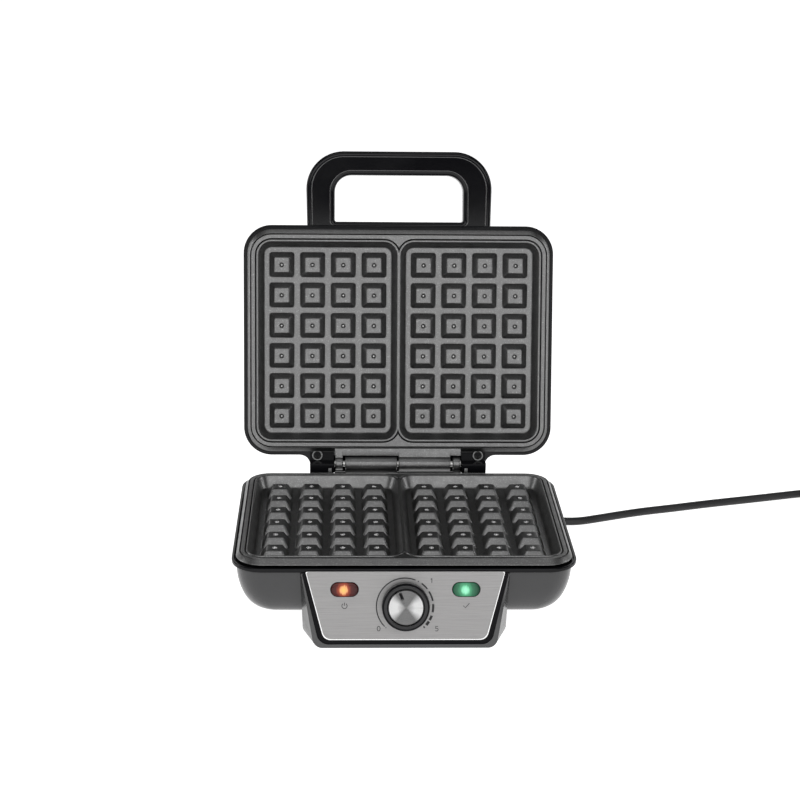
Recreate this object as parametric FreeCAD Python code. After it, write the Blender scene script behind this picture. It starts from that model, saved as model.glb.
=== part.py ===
import FreeCAD, Part
import math
import os

os.makedirs("parts", exist_ok=True)
V = FreeCAD.Vector

# A double waffle maker that stands open: base with a control housing in front, lid on a rear hinge.
# Millimetres. X to the right, Y to the back, Z up from the table.

# Where things stand
PLATE_Y = -29.9
PARTING_Z = 57.5
RIM_GAP = 0.4
OPEN_ANGLE = 102.8
TOUCH = 0.1

# Waffle blocks and cavities
COLUMNS = 4
ROWS = 6
PITCH_X = 24.0
PITCH_Y = 23.7
BLOCK_BASE = 19.2
BLOCK_TOP = 12.2
BLOCK_HEIGHT = 7.0
BLOCK_CORNER = 1.8
BLOCK_TOP_CORNER = 1.0
DIMPLE_RADIUS = 1.5
DIMPLE_DEPTH = 0.7
FLOOR_MARGIN = 4.3
CAVITY_RUN = 4.3
CAVITY_DEPTH = 9.0
CAVITY_CORNER = 10.5
RIDGE_WIDTH = 2.2

# Bands of the plate's flange, from the cavity's rim outwards
LIP_BAND = 1.3
STEP_BAND = 1.2
STEP_DEPTH = 1.4
PLATEAU_BAND = 2.7
PLATEAU_DROP = 0.3
GROOVE_BAND = 1.0
GROOVE_DEPTH = 1.2
SHOULDER_RUN_X = 2.2
SHOULDER_RUN_Y = 3.4
SHOULDER_DROP = 3.2
EDGE_HEIGHT = 1.6
APRON_HALF = 49.6
APRON_REACH = 3.25
PLATE_WALL = 2.5
PLATE_FLOOR = 3.0
LUG_INNER_X = 52.0
LUG_WIDTH = 2.6
LUG_THICK = 1.0
LUG_HEIGHT = 5.0

# Legs under the plate and the screws that hold them
LEG_INSET = 23.4
LEG_RADIUS = 5.0
NECK_RADIUS = 3.0
NECK_LENGTH = 6.0
SCREW_RADIUS = 2.0
SCREW_BITE = 8.0
HEAD_RADIUS = 3.6
HEAD_HEIGHT = 2.4
HEAD_POCKET_RADIUS = 4.0
HEAD_POCKET_DEPTH = 8.0
BOSS_RADIUS = 5.8

# Heating element and heat shield
ELEMENT_D = 6.5
ELEMENT_IN_X = 11.0
ELEMENT_IN_Y = 6.0
ELEMENT_CORNER = 20.0
TERMINAL_X = 20.0
TERMINAL_BEND = 9.0
TERMINAL_DROP = 3.0
SHIELD_THICK = 0.8
SHIELD_RIM = 4.0
SHIELD_MARGIN = 3.0
SHIELD_HOLE_GAP = 1.2

# Frames that ring the plates
LIP_GAP = 1.0
LIP_WIDTH = 2.1
LIP_DROP = 5.2
LIP_HEIGHT = 2.6
FRAME_FLANGE = 1.5
FRAME_GAP = 1.0
LIP_ROUND = 0.8

# Bowl-shaped housings
HOUSING_INSET = 3.2
HOUSING_WALL = 2.5
BOWL_RUN = 19.0
BASE_BOWL_HEIGHT = 37.5
LID_BOWL_HEIGHT = 28.2
BOWL_CORNER_SHARE = 0.35
BOWL_STEPS = 6
VENT_COUNT = 5
VENT_PITCH = 12.0
VENT_WIDTH = 3.2
VENT_LENGTH = 30.0
VENT_Y = -32.0

# Hinge
HINGE_BEHIND = 6.45
HINGE_RISE = 2.56
BARREL_RADIUS = 5.7
EAR_RADIUS = 5.2
BARREL_START = 0.6
BARREL_END = 41.4
EAR_START = 43.2
EAR_END = 49.2
WEB_LOW = 4.4
WEB_HIGH = 0.9
PIN_RADIUS = 2.5
PIN_PROUD = 0.5
PIN_CLEARANCE = 0.05
ARM_START = 50.4
ARM_END = 69.0
ARM_RADIUS = 8.5
ARM_FILLET = 8.0
ARM_ROOT = 6.5
ARM_BOSS_X = 63.3
ARM_BOSS_RADIUS = 4.2
ARM_BOSS_BEHIND = 1.9
ARM_BOSS_HEIGHT = 1.4
ARM_SCREW_RADIUS = 2.8
ARM_SCREW_HEAD = 2.0
ARM_SCREW_DEPTH = 2.4
ARM_CLEAR = 0.5
HOOD_WALL = 1.5
HOOD_ROOT = 4.0
HOOD_TURN = 65.0

# Handle, a closed loop on the lid's front edge
HANDLE_HALF = 73.0
HANDLE_REACH = 57.3
HANDLE_BAR = 18.5
HANDLE_LEG = 22.9
HANDLE_SILL = 2.8
HANDLE_THICK = 22.0
HANDLE_CORNER = 30.0
WINDOW_CORNER = 13.0
WINDOW_ROOT_CORNER = 5.0
HANDLE_ROUND = 2.6
HANDLE_TAPER = 1.4
TRIM_OUTER = 4.2
TRIM_INNER = 3.6
TRIM_WIDTH = 0.8
TRIM_DEPTH = 0.5
TONGUE_IN = 6.0
TONGUE_DEPTH = 9.0
TONGUE_LOW = 3.6
TONGUE_HIGH = 5.0

# Control housing and its panel
PANEL_TILT = 17.4
PANEL_AHEAD = 1.35
PANEL_TOP_Z = 50.0
PAD_HEIGHT = 0.5
PAD_SINK = 1.2
HOUSING_TOP_HALF = 72.0
HOUSING_LOW_HALF = 63.0
HOUSING_CORNER = 7.0
FOOT_TOP_HALF = 72.6
FOOT_LOW_HALF = 71.0
FOOT_CORNER = 7.0
FOOT_BEHIND_LIP = 4.0
FOOT_DEPTH = 24.5
FOOT_WALL = 2.5
FACE_BACK = 0.3
BEZEL_THICK = 2.0
BEZEL_TOP_S = 0.3
BEZEL_LOW_S = 49.1
BEZEL_TOP_HALF = 71.3
BEZEL_LOW_HALF = 59.4
BEZEL_CORNER = 8.5
BEZEL_ROUND = 0.5
FASCIA_THICK = 0.8
FASCIA_TOP_S = 1.1
FASCIA_LOW_S = 46.3
FASCIA_TOP_HALF = 68.5
FASCIA_LOW_HALF = 56.4
FASCIA_CORNER = 6.0
FASCIA_TOP_CORNER = 1.0
FIT_GAP = 0.15

# Pilot lenses and lamps
LENS_X = 42.0
LENS_S = 11.3
LENS_LENGTH = 19.2
LENS_HEIGHT = 9.8
LENS_PROUD = 1.0
LENS_FLANGE = 1.4
LENS_FLANGE_THICK = 1.5
LENS_ROUND = 0.7
LAMP_RADIUS = 3.0
LAMP_LENGTH = 14.0

# Thermostat and knob
KNOB_S = 22.3
KNOB_RADIUS = 16.35
KNOB_TOP_RADIUS = 15.6
KNOB_HEIGHT = 12.0
KNOB_FLOAT = 0.6
KNOB_FOOT = 2.0
KNOB_CHAMFER = 1.2
KNOB_HOLLOW_RADIUS = 11.0
KNOB_HOLLOW_DEPTH = 6.0
CAP_RADIUS = 12.0
CAP_THICK = 1.2
CAP_SEAT = 1.4
POINTER_ANGLE = 22.0
POINTER_LENGTH = 5.0
POINTER_WIDTH = 1.7
POINTER_DEPTH = 0.5
POINTER_RADIUS = 8.6
SHAFT_RADIUS = 3.0
SHAFT_DEPTH = 8.0
SHAFT_CLEARANCE = 0.05
BUSH_RADIUS = 4.5
BUSH_PROUD = 4.0
NUT_RADIUS = 8.0
NUT_HEIGHT = 2.6
THERMOSTAT_HALF = 13.0
THERMOSTAT_DEPTH = 16.0

# Feet
REAR_FOOT_X = 78.0
REAR_FOOT_BEHIND = 70.0
REAR_FOOT_RADIUS = 8.5
REAR_FOOT_HEIGHT = 3.0
COLUMN_LOW_RADIUS = 9.5
COLUMN_HIGH_RADIUS = 11.0
COLUMN_TOP = 26.0
FRONT_PAD_X = 40.0
FRONT_PAD_RADIUS = 7.0
FRONT_PAD_BACK = 13.0

# Wiring, terminal block and fuse
WIRE_RADIUS = 1.2
WIRE_BEND = 3.0
WIRE_STUB = 3.0
BLOCK_HALF_X = 17.0
BLOCK_HALF_Y = 9.0
BLOCK_TALL = 14.0
BLOCK_BEHIND = 22.0
WIRE_RISE = 7.0
WIRE_SPREAD = 12.0
LEAD_BEND = 8.0
FUSE_RADIUS = 2.3
FUSE_LENGTH = 14.0
FUSE_X = 40.0
LID_LEAD_BEHIND = 14.0
LID_LEAD_RISE = 17.0

# Cord, its strain relief, coil, tie and plug
CORD_RADIUS = 3.2
GLAND_X = -12.0
GLAND_Z = 33.0
GLAND_PAD_RADIUS = 10.0
GLAND_PAD_BACK = 2.6
GLAND_PAD_THICK = 11.0
RELIEF_NECK = 5.0
RELIEF_FLANGE = 7.6
RELIEF_FLANGE_THICK = 2.0
RELIEF_INNER_FLANGE = 6.6
RELIEF_TIP = 4.0
RELIEF_GROOVES = 5
RELIEF_GROOVE_DEPTH = 0.9
RELIEF_GROOVE_WIDTH = 2.0
CORD_FROM_PLATE = [
    (-12, 120.3, 33), (-12, 139.3, 33), (-4, 156.3, 28.5), (10, 168.8, 20.5), (28, 174.3, 12.5),
    (47.5, 172.3, 6.3), (66, 163.8, 3.2), (82.5, 150.8, 3.2), (97, 136.8, 3.2), (112, 124.3, 3.2),
    (128.5, 116.3, 3.2), (146, 114.7, 3.2), (163, 120.9, 3.2), (182, 128.7, 3.2), (203, 136.6, 3.2),
    (229, 143.9, 3.2), (262, 154.3, 3.2), (303, 165.3, 3.2), (345, 174.8, 4.4), (378, 181.3, 4.4),
]
CORD_ROUNDING = 0.45
COIL_RADIUS = 40.0
COIL_PITCH = 8.0
COIL_LAYER = 7.2
COIL_IN_TURNS = 0.9
COIL_CLIMB_TURNS = 0.5
COIL_OUT_TURNS = 0.886
COIL_TAIL_RUN = 34.0
TIE_TURN = 0.786
TIE_WIDTH = 8.0
TIE_THICK = 0.8
TIE_GAP = 0.3
TIE_SIDE_GAP = 0.7
PLUG_AXIS_Z = 19.0
PLUG_RADIUS = 18.2
PLUG_NECK = 9.0
PLUG_TAIL_RADIUS = 4.6
PLUG_TAIL = 26.0
PLUG_SHOULDER = 14.0
PLUG_LENGTH = 22.0
PLUG_PIN_RADIUS = 2.4
PLUG_PIN_LENGTH = 19.0
PLUG_PIN_SPACING = 19.0

# Sizes that follow from those above
FLOOR_HALF_X = (COLUMNS - 1) / 2 * PITCH_X + BLOCK_BASE / 2 + FLOOR_MARGIN
FLOOR_HALF_Y = (ROWS - 1) / 2 * PITCH_Y + BLOCK_BASE / 2 + FLOOR_MARGIN
CAVITY_HALF_X = FLOOR_HALF_X + CAVITY_RUN
CAVITY_HALF_Y = FLOOR_HALF_Y + CAVITY_RUN
CAVITY_X = RIDGE_WIDTH / 2 + CAVITY_HALF_X
PAIR_HALF_X = CAVITY_X + CAVITY_HALF_X
RIM_Z = PARTING_Z - RIM_GAP / 2
FLOOR_Z = RIM_Z - CAVITY_DEPTH
UNDERSIDE_Z = FLOOR_Z - PLATE_FLOOR
SHOULDER_Z = RIM_Z - SHOULDER_DROP
BANDS = LIP_BAND + STEP_BAND + PLATEAU_BAND + GROOVE_BAND
PLATE_HALF_X = PAIR_HALF_X + BANDS + SHOULDER_RUN_X
PLATE_HALF_Y = CAVITY_HALF_Y + BANDS + SHOULDER_RUN_Y
PLATE_CORNER = CAVITY_CORNER + BANDS + SHOULDER_RUN_X
LEG_X = PAIR_HALF_X - LEG_INSET
LEG_Y = CAVITY_HALF_Y - LEG_INSET
ELEMENT_Z = UNDERSIDE_Z - TOUCH - ELEMENT_D / 2
SHIELD_Z = ELEMENT_Z - ELEMENT_D / 2 - TOUCH
BOSS_TOP_Z = SHIELD_Z - SHIELD_THICK - NECK_LENGTH
ELEMENT_HALF_X = LEG_X - ELEMENT_IN_X
ELEMENT_HALF_Y = LEG_Y - ELEMENT_IN_Y
TERMINAL_Y = PLATE_Y + ELEMENT_HALF_Y
TERMINAL_Z = ELEMENT_Z - TERMINAL_BEND - TERMINAL_DROP
LIP_HALF_X = PLATE_HALF_X + LIP_GAP + LIP_WIDTH
LIP_HALF_Y = PLATE_HALF_Y + LIP_GAP + LIP_WIDTH
LIP_CORNER = PLATE_CORNER + LIP_GAP + LIP_WIDTH
LIP_TOP_Z = PARTING_Z - LIP_DROP
FRAME_Z = LIP_TOP_Z - LIP_HEIGHT
FRONT_Y = PLATE_Y - LIP_HALF_Y
REAR_Y = PLATE_Y + LIP_HALF_Y
HINGE_Y = REAR_Y + HINGE_BEHIND
HINGE_Z = PARTING_Z + HINGE_RISE
BASE_FLOOR_Z = FRAME_Z - BASE_BOWL_HEIGHT + HOUSING_WALL
LENS_BACK = -BEZEL_THICK - FOOT_WALL
HANDLE_Z = PARTING_Z + LIP_DROP
CORD_POINTS = [(x, PLATE_Y + y, z) for x, y, z in CORD_FROM_PLATE]
ON_X = V(1, 0, 0)
ON_Y = V(0, 1, 0)
ON_Z = V(0, 0, 1)


def line(start, end):
    return Part.LineSegment(start, end).toShape()


def tangent_arc(start, corner, end):
    """The arc that leaves start and reaches end along the two legs of a corner of equal legs."""
    a = (start - corner).normalize()
    b = (end - corner).normalize()
    half_turn = (math.pi - a.getAngle(b)) / 2
    radius = (start - corner).Length / math.tan(half_turn)
    middle = corner + (a + b).normalize() * (radius / math.cos(half_turn) - radius)
    return Part.Arc(start, middle, end).toShape()


def turn_at(before, at, after):
    """How far a path turns at a point, in radians."""
    return (at - before).getAngle(after - at)


def rounded_path(points, radii, closed=False):
    """Straight runs joined by tangent arcs, one radius for each point (0 keeps it sharp)."""
    count = len(points)
    legs = []
    for i, at in enumerate(points):
        inner = closed or 0 < i < count - 1
        before = points[i - 1]
        after = points[(i + 1) % count]
        reach = radii[i] * math.tan(turn_at(before, at, after) / 2) if inner else 0
        towards_before = (before - at).normalize() * reach
        towards_after = (after - at).normalize() * reach
        legs.append((at + towards_before, at, at + towards_after, reach))
    edges = []
    for i, (start, at, end, reach) in enumerate(legs):
        if reach > 0:
            edges.append(tangent_arc(start, at, end))
        last = i == count - 1
        if not last or closed:
            following = legs[(i + 1) % count][0]
            if (following - end).Length > 1e-6:
                edges.append(line(end, following))
    return Part.Wire(edges)


def outline(half_x, half_y, radius, z, centre_x=0.0):
    """A rounded rectangle about the plates' centre, at one height."""
    corners = [(-half_x, -half_y), (half_x, -half_y), (half_x, half_y), (-half_x, half_y)]
    points = [V(centre_x + x, PLATE_Y + y, z) for x, y in corners]
    return rounded_path(points, [radius] * 4, closed=True)


def prism(half_x, half_y, radius, low, high):
    return Part.Face(outline(half_x, half_y, radius, low)).extrude(ON_Z * (high - low))


def band_prism(offset, low, high):
    """A prism whose outline stands outside the pair of cavities by one offset."""
    return prism(PAIR_HALF_X + offset, CAVITY_HALF_Y + offset, CAVITY_CORNER + offset, low, high)


def lobes(offset, low, high):
    """A prism round each cavity by itself, so that their joint outline dips where the two meet."""
    half_x, half_y, corner = CAVITY_HALF_X + offset, CAVITY_HALF_Y + offset, CAVITY_CORNER + offset
    pair = [Part.Face(outline(half_x, half_y, corner, low, x)).extrude(ON_Z * (high - low))
            for x in (-CAVITY_X, CAVITY_X)]
    return pair[0].fuse(pair[1])


def pipe(path, radius):
    """A round tube along a path of lines and arcs."""
    first = path.OrderedEdges[0]
    start = first.valueAt(first.FirstParameter)
    along = first.tangentAt(first.FirstParameter)
    if first.Orientation == "Reversed":
        start = first.valueAt(first.LastParameter)
        along = first.tangentAt(first.LastParameter) * -1
    section = Part.Wire(Part.makeCircle(radius, start, along))
    return path.makePipeShell([section], True, False)


def revolved(profile, centre, axis, across):
    """A solid of revolution from (radius, height) points about an axis."""
    points = [centre + across * r + axis * h for r, h in profile]
    face = Part.Face(Part.makePolygon(points + points[:1]))
    return face.revolve(centre, axis, 360)


def box(x0, x1, y0, y1, z0, z1):
    return Part.makeBox(x1 - x0, y1 - y0, z1 - z0, V(x0, y0, z0))


def edges_at(shape, z):
    """The edges that lie flat at one height."""
    return [e for e in shape.Edges if all(abs(v.Point.z - z) < 1e-6 for v in e.Vertexes)]


def on_legs(make):
    """One solid for each of the four legs under a plate."""
    return [make(V(x, PLATE_Y + y, 0)) for x in (-LEG_X, LEG_X) for y in (-LEG_Y, LEG_Y)]


def mirrored(shape):
    """A piece of the base, turned over into the closed lid."""
    return shape.mirror(V(0, 0, PARTING_Z), ON_Z)


def opened(shape):
    """A piece of the closed lid, swung up about the hinge."""
    turned = shape.copy()
    turned.rotate(V(0, HINGE_Y, HINGE_Z), ON_X, -OPEN_ANGLE)
    return turned


PANEL = FreeCAD.Placement(V(0, FRONT_Y - PANEL_AHEAD, PANEL_TOP_Z), FreeCAD.Rotation(ON_X, 90 - PANEL_TILT))


def on_panel(shape):
    """From panel coordinates (right, up the slope, out of the panel) to the part's own."""
    placed = shape.copy()
    placed.Placement = PANEL.multiply(placed.Placement)
    return placed


# Waffle plates

def waffle_blocks():
    """The truncated pyramids that press the pockets into a waffle, on both cavity floors."""
    sections = []
    for width, corner, z in ((BLOCK_BASE, BLOCK_CORNER, 0), (BLOCK_TOP, BLOCK_TOP_CORNER, BLOCK_HEIGHT)):
        half = width / 2
        points = [V(half * x, half * y, z) for x, y in ((-1, -1), (1, -1), (1, 1), (-1, 1))]
        sections.append(rounded_path(points, [corner] * 4, closed=True))
    block = Part.makeLoft(sections, True, True)
    block = block.cut(Part.makeCylinder(DIMPLE_RADIUS, DIMPLE_DEPTH, ON_Z * (BLOCK_HEIGHT - DIMPLE_DEPTH)))
    blocks = []
    for side in (-1, 1):
        for column in range(COLUMNS):
            for row in range(ROWS):
                x = side * CAVITY_X + (column - (COLUMNS - 1) / 2) * PITCH_X
                y = PLATE_Y + (row - (ROWS - 1) / 2) * PITCH_Y
                blocks.append(block.translated(V(x, y, FLOOR_Z)))
    return blocks


def cavity(side):
    """The drafted hollow that one waffle bakes in."""
    floor = outline(FLOOR_HALF_X, FLOOR_HALF_Y, CAVITY_CORNER - CAVITY_RUN, FLOOR_Z, side * CAVITY_X)
    rim = outline(CAVITY_HALF_X, CAVITY_HALF_Y, CAVITY_CORNER, RIM_Z, side * CAVITY_X)
    return Part.makeLoft([floor, rim], True, True)


def plate_body():
    """A baking plate with its face up: tray, flange in bands, rear apron, blocks and its legs."""
    edge = prism(PLATE_HALF_X, PLATE_HALF_Y, PLATE_CORNER, SHOULDER_Z - EDGE_HEIGHT, SHOULDER_Z)
    inner_half_x = PAIR_HALF_X + BANDS
    inner_half_y = CAVITY_HALF_Y + BANDS
    plateau_z = RIM_Z - PLATEAU_DROP
    shoulder = Part.makeLoft([
        outline(PLATE_HALF_X, PLATE_HALF_Y, PLATE_CORNER, SHOULDER_Z),
        outline(inner_half_x, inner_half_y, CAVITY_CORNER + BANDS, plateau_z)], True, True)
    lip = lobes(LIP_BAND, SHOULDER_Z, RIM_Z)
    tray_low = outline(PAIR_HALF_X - CAVITY_RUN + PLATE_WALL, FLOOR_HALF_Y + PLATE_WALL,
                       CAVITY_CORNER - CAVITY_RUN + PLATE_WALL, UNDERSIDE_Z)
    tray_high = outline(PAIR_HALF_X + PLATE_WALL, CAVITY_HALF_Y + PLATE_WALL, CAVITY_CORNER + PLATE_WALL,
                        SHOULDER_Z)
    tray = Part.makeLoft([tray_low, tray_high], True, True)
    rear = PLATE_Y + PLATE_HALF_Y
    apron = box(-APRON_HALF, APRON_HALF, rear - SHOULDER_RUN_Y / 2, rear + APRON_REACH,
                SHOULDER_Z - EDGE_HEIGHT, SHOULDER_Z)
    body = edge.multiFuse([shoulder, lip, tray, apron])
    step = lobes(LIP_BAND + STEP_BAND, RIM_Z - STEP_DEPTH, RIM_Z).cut(
        lobes(LIP_BAND, RIM_Z - STEP_DEPTH, RIM_Z))
    groove = band_prism(BANDS, plateau_z - GROOVE_DEPTH, RIM_Z).cut(
        band_prism(BANDS - GROOVE_BAND, plateau_z - GROOVE_DEPTH, RIM_Z))
    body = body.cut([step, groove, cavity(-1), cavity(1)])
    legs = on_legs(plate_leg)
    return body.multiFuse(waffle_blocks() + legs).removeSplitter()


def plate_leg(at):
    """A cast leg with a shoulder that the heat shield is held against."""
    shoulder = Part.makeCylinder(LEG_RADIUS, UNDERSIDE_Z - SHIELD_Z, at + ON_Z * SHIELD_Z)
    neck = Part.makeCylinder(NECK_RADIUS, SHIELD_Z - BOSS_TOP_Z, at + ON_Z * BOSS_TOP_Z)
    return shoulder.fuse(neck)


def knuckle(x0, x1, radius, web_low, web_high):
    """A hinge barrel or ear, with the web that joins it to its plate's rear edge."""
    barrel = Part.makeCylinder(radius, x1 - x0, V(x0, HINGE_Y, HINGE_Z), ON_X)
    plate_rear = PLATE_Y + PLATE_HALF_Y - SHOULDER_RUN_Y / 2
    return barrel.fuse(box(x0, x1, plate_rear, HINGE_Y, web_low, web_high))


def hinge_bore(radius):
    return Part.makeCylinder(radius, 2 * EAR_END, V(-EAR_END, HINGE_Y, HINGE_Z), ON_X)


def lower_plate():
    web = (PARTING_Z - WEB_LOW, PARTING_Z - WEB_HIGH)
    barrel = knuckle(-BARREL_END, -BARREL_START, BARREL_RADIUS, *web)
    ear = knuckle(EAR_START, EAR_END, EAR_RADIUS, *web)
    lug_y = PLATE_Y + PLATE_HALF_Y - LUG_THICK
    lugs = [box(x, x + LUG_WIDTH, lug_y, lug_y + LUG_THICK, SHOULDER_Z - EDGE_HEIGHT, SHOULDER_Z + LUG_HEIGHT)
            for x in (-LUG_INNER_X - LUG_WIDTH, LUG_INNER_X)]
    holes = on_legs(lambda at: Part.makeCylinder(SCREW_RADIUS, SCREW_BITE, at + ON_Z * BOSS_TOP_Z))
    return plate_body().multiFuse([barrel, ear] + lugs).cut(holes + [hinge_bore(PIN_RADIUS)])


def upper_plate():
    web = (PARTING_Z + WEB_HIGH, PARTING_Z + WEB_LOW)
    barrel = knuckle(BARREL_START, BARREL_END, BARREL_RADIUS, *web)
    ear = knuckle(-EAR_END, -EAR_START, EAR_RADIUS, *web)
    plate = mirrored(plate_body()).multiFuse([barrel, ear])
    return opened(plate.cut(hinge_bore(PIN_RADIUS + PIN_CLEARANCE)))


def hinge_pin():
    half = EAR_END + PIN_PROUD
    return Part.makeCylinder(PIN_RADIUS, 2 * half, V(-half, HINGE_Y, HINGE_Z), ON_X)


# Heating elements and shields, as they lie under the lower plate

def element():
    """A tubular loop under the plate whose two ends turn down through the shield."""
    x, y = ELEMENT_HALF_X, ELEMENT_HALF_Y
    corners = [(-TERMINAL_X, y), (-x, y), (-x, -y), (x, -y), (x, y), (TERMINAL_X, y)]
    points = [V(px, PLATE_Y + py, ELEMENT_Z) for px, py in corners]
    points = [V(-TERMINAL_X, TERMINAL_Y, TERMINAL_Z)] + points + [V(TERMINAL_X, TERMINAL_Y, TERMINAL_Z)]
    radii = [0, TERMINAL_BEND] + [ELEMENT_CORNER] * 4 + [TERMINAL_BEND, 0]
    return pipe(rounded_path(points, radii), ELEMENT_D / 2)


def shield():
    """A shallow sheet tray under the element, with holes for the legs and the element's ends."""
    half_x = PAIR_HALF_X - CAVITY_RUN - SHIELD_MARGIN
    half_y = FLOOR_HALF_Y - SHIELD_MARGIN
    tray = prism(half_x, half_y, CAVITY_CORNER, SHIELD_Z - SHIELD_THICK, SHIELD_Z + SHIELD_RIM)
    hollow = prism(half_x - SHIELD_THICK, half_y - SHIELD_THICK, CAVITY_CORNER - SHIELD_THICK,
                   SHIELD_Z, SHIELD_Z + SHIELD_RIM)
    low = ON_Z * (SHIELD_Z - SHIELD_THICK)
    holes = on_legs(lambda at: Part.makeCylinder(NECK_RADIUS + TOUCH, SHIELD_THICK, at + low))
    hole = ELEMENT_D / 2 + SHIELD_HOLE_GAP
    for side in (-1, 1):
        ends = [V(side * (TERMINAL_X + x), TERMINAL_Y, 0) + low for x in (0, TERMINAL_BEND / 2)]
        holes += [Part.makeCylinder(hole, SHIELD_THICK, end) for end in ends]
        x0, x1 = sorted(end.x for end in ends)
        holes.append(box(x0, x1, TERMINAL_Y - hole, TERMINAL_Y + hole, SHIELD_Z - SHIELD_THICK, SHIELD_Z))
    return tray.cut([hollow] + holes)


# Frames and housings

def frame_ring():
    """The lip that rings a plate, with the flange that closes the gap below it."""
    ring = prism(LIP_HALF_X, LIP_HALF_Y, LIP_CORNER, FRAME_Z, LIP_TOP_Z)
    ring = ring.makeFillet(LIP_ROUND, edges_at(ring, LIP_TOP_Z))
    gap = LIP_WIDTH
    groove = prism(LIP_HALF_X - gap, LIP_HALF_Y - gap, LIP_CORNER - gap, FRAME_Z + FRAME_FLANGE, LIP_TOP_Z)
    offset = PLATE_WALL + FRAME_GAP
    return ring.cut([groove, band_prism(offset, FRAME_Z, LIP_TOP_Z)])


def bowl(height, wall):
    """A bowl under the frame: its sides follow a quarter ellipse down to a flat floor."""
    sections = []
    for step in range(BOWL_STEPS + 1):
        angle = math.pi / 2 * step / BOWL_STEPS
        inset = BOWL_RUN * (1 - math.cos(angle))
        taken = HOUSING_INSET + inset + wall
        corner = LIP_CORNER - HOUSING_INSET - wall - BOWL_CORNER_SHARE * inset
        z = FRAME_Z - (height - wall) * math.sin(angle)
        sections.append(outline(LIP_HALF_X - taken, LIP_HALF_Y - taken, corner, z))
    return Part.makeLoft(sections, True, False)


def foot_outline(top_half, low_half, corner, top, low, y_at):
    """A wall of the control housing: a trapezium with round lower corners. y_at gives Y at a height."""
    corners = [(-top_half, top), (top_half, top), (low_half, low), (-low_half, low)]
    points = [V(x, y_at(z), z) for x, z in corners]
    return rounded_path(points, [0, 0, corner, corner], closed=True)


def foot_solid(inset, top, behind):
    """The control housing's form, each wall moved inwards by inset: flared sides, then a straight box.
    Its sloping face lies behind the fascia by the distance given."""
    slope = math.tan(math.radians(PANEL_TILT))
    face_y = FRONT_Y - PANEL_AHEAD + behind / math.cos(math.radians(PANEL_TILT))
    middle_y = FRONT_Y + FOOT_BEHIND_LIP + inset
    low = PAD_HEIGHT + inset
    front = foot_outline(HOUSING_TOP_HALF - inset, HOUSING_LOW_HALF - inset, HOUSING_CORNER - inset, top, low,
                         lambda z: face_y - (PANEL_TOP_Z - z) * slope)
    middle = foot_outline(FOOT_TOP_HALF - inset, FOOT_LOW_HALF - inset, FOOT_CORNER - inset, top, low,
                          lambda z: middle_y)
    flare = Part.makeLoft([front, middle], True, True)
    return flare.fuse(Part.Face(middle).extrude(ON_Y * (FOOT_DEPTH - 2 * inset)))


def control_housing():
    top = FRAME_Z - 3 * TOUCH
    hollow = foot_solid(FOOT_WALL, top - FOOT_WALL, BEZEL_THICK + FOOT_WALL)
    inside = bowl(BASE_BOWL_HEIGHT, HOUSING_WALL)
    seat = on_panel(bezel_face(FIT_GAP).extrude(ON_Z * 2 * BEZEL_THICK))
    pads = front_pads(FIT_GAP)
    return foot_solid(0, top, FACE_BACK).cut([hollow, inside, seat] + pads + panel_holes())


def base_shell():
    inner = bowl(BASE_BOWL_HEIGHT, HOUSING_WALL)
    shell = bowl(BASE_BOWL_HEIGHT, 0).cut(inner)
    floor = FRAME_Z - BASE_BOWL_HEIGHT
    columns = []
    for x in (-REAR_FOOT_X, REAR_FOOT_X):
        at = V(x, PLATE_Y + REAR_FOOT_BEHIND, REAR_FOOT_HEIGHT)
        columns.append(Part.makeCone(COLUMN_LOW_RADIUS, COLUMN_HIGH_RADIUS, COLUMN_TOP - REAR_FOOT_HEIGHT, at))
    shell = shell.multiFuse([column.cut(inner) for column in columns])
    bosses = on_legs(lambda at: Part.makeCylinder(BOSS_RADIUS, BOSS_TOP_Z - floor, at + ON_Z * floor))
    pad = Part.makeCylinder(GLAND_PAD_RADIUS, GLAND_PAD_THICK, V(GLAND_X, gland_face_y(), GLAND_Z), ON_Y * -1)
    shell = shell.multiFuse(bosses + [pad])
    holes = on_legs(lambda at: Part.makeCylinder(SCREW_RADIUS + TOUCH, BOSS_TOP_Z - floor, at + ON_Z * floor))
    holes += on_legs(lambda at: Part.makeCylinder(HEAD_POCKET_RADIUS, HEAD_POCKET_DEPTH, at + ON_Z * floor))
    holes.append(Part.makeCylinder(RELIEF_NECK, GLAND_PAD_THICK, V(GLAND_X, gland_face_y(), GLAND_Z), ON_Y * -1))
    for i in range(VENT_COUNT):
        x = (i - (VENT_COUNT - 1) / 2) * VENT_PITCH
        y = PLATE_Y + VENT_Y
        holes.append(box(x - VENT_WIDTH / 2, x + VENT_WIDTH / 2, y, y + VENT_LENGTH, floor, BASE_FLOOR_Z))
    return shell.cut(holes + [foot_solid(-TOUCH, FRAME_Z + 1, FACE_BACK - TOUCH)])


def gland_face_y():
    """The outer face of the flat pad that the strain relief sits in."""
    drop = (FRAME_Z - GLAND_Z) / BASE_BOWL_HEIGHT
    inset = BOWL_RUN * (1 - math.sqrt(1 - drop * drop))
    return REAR_Y - HOUSING_INSET - inset + GLAND_PAD_BACK


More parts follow.
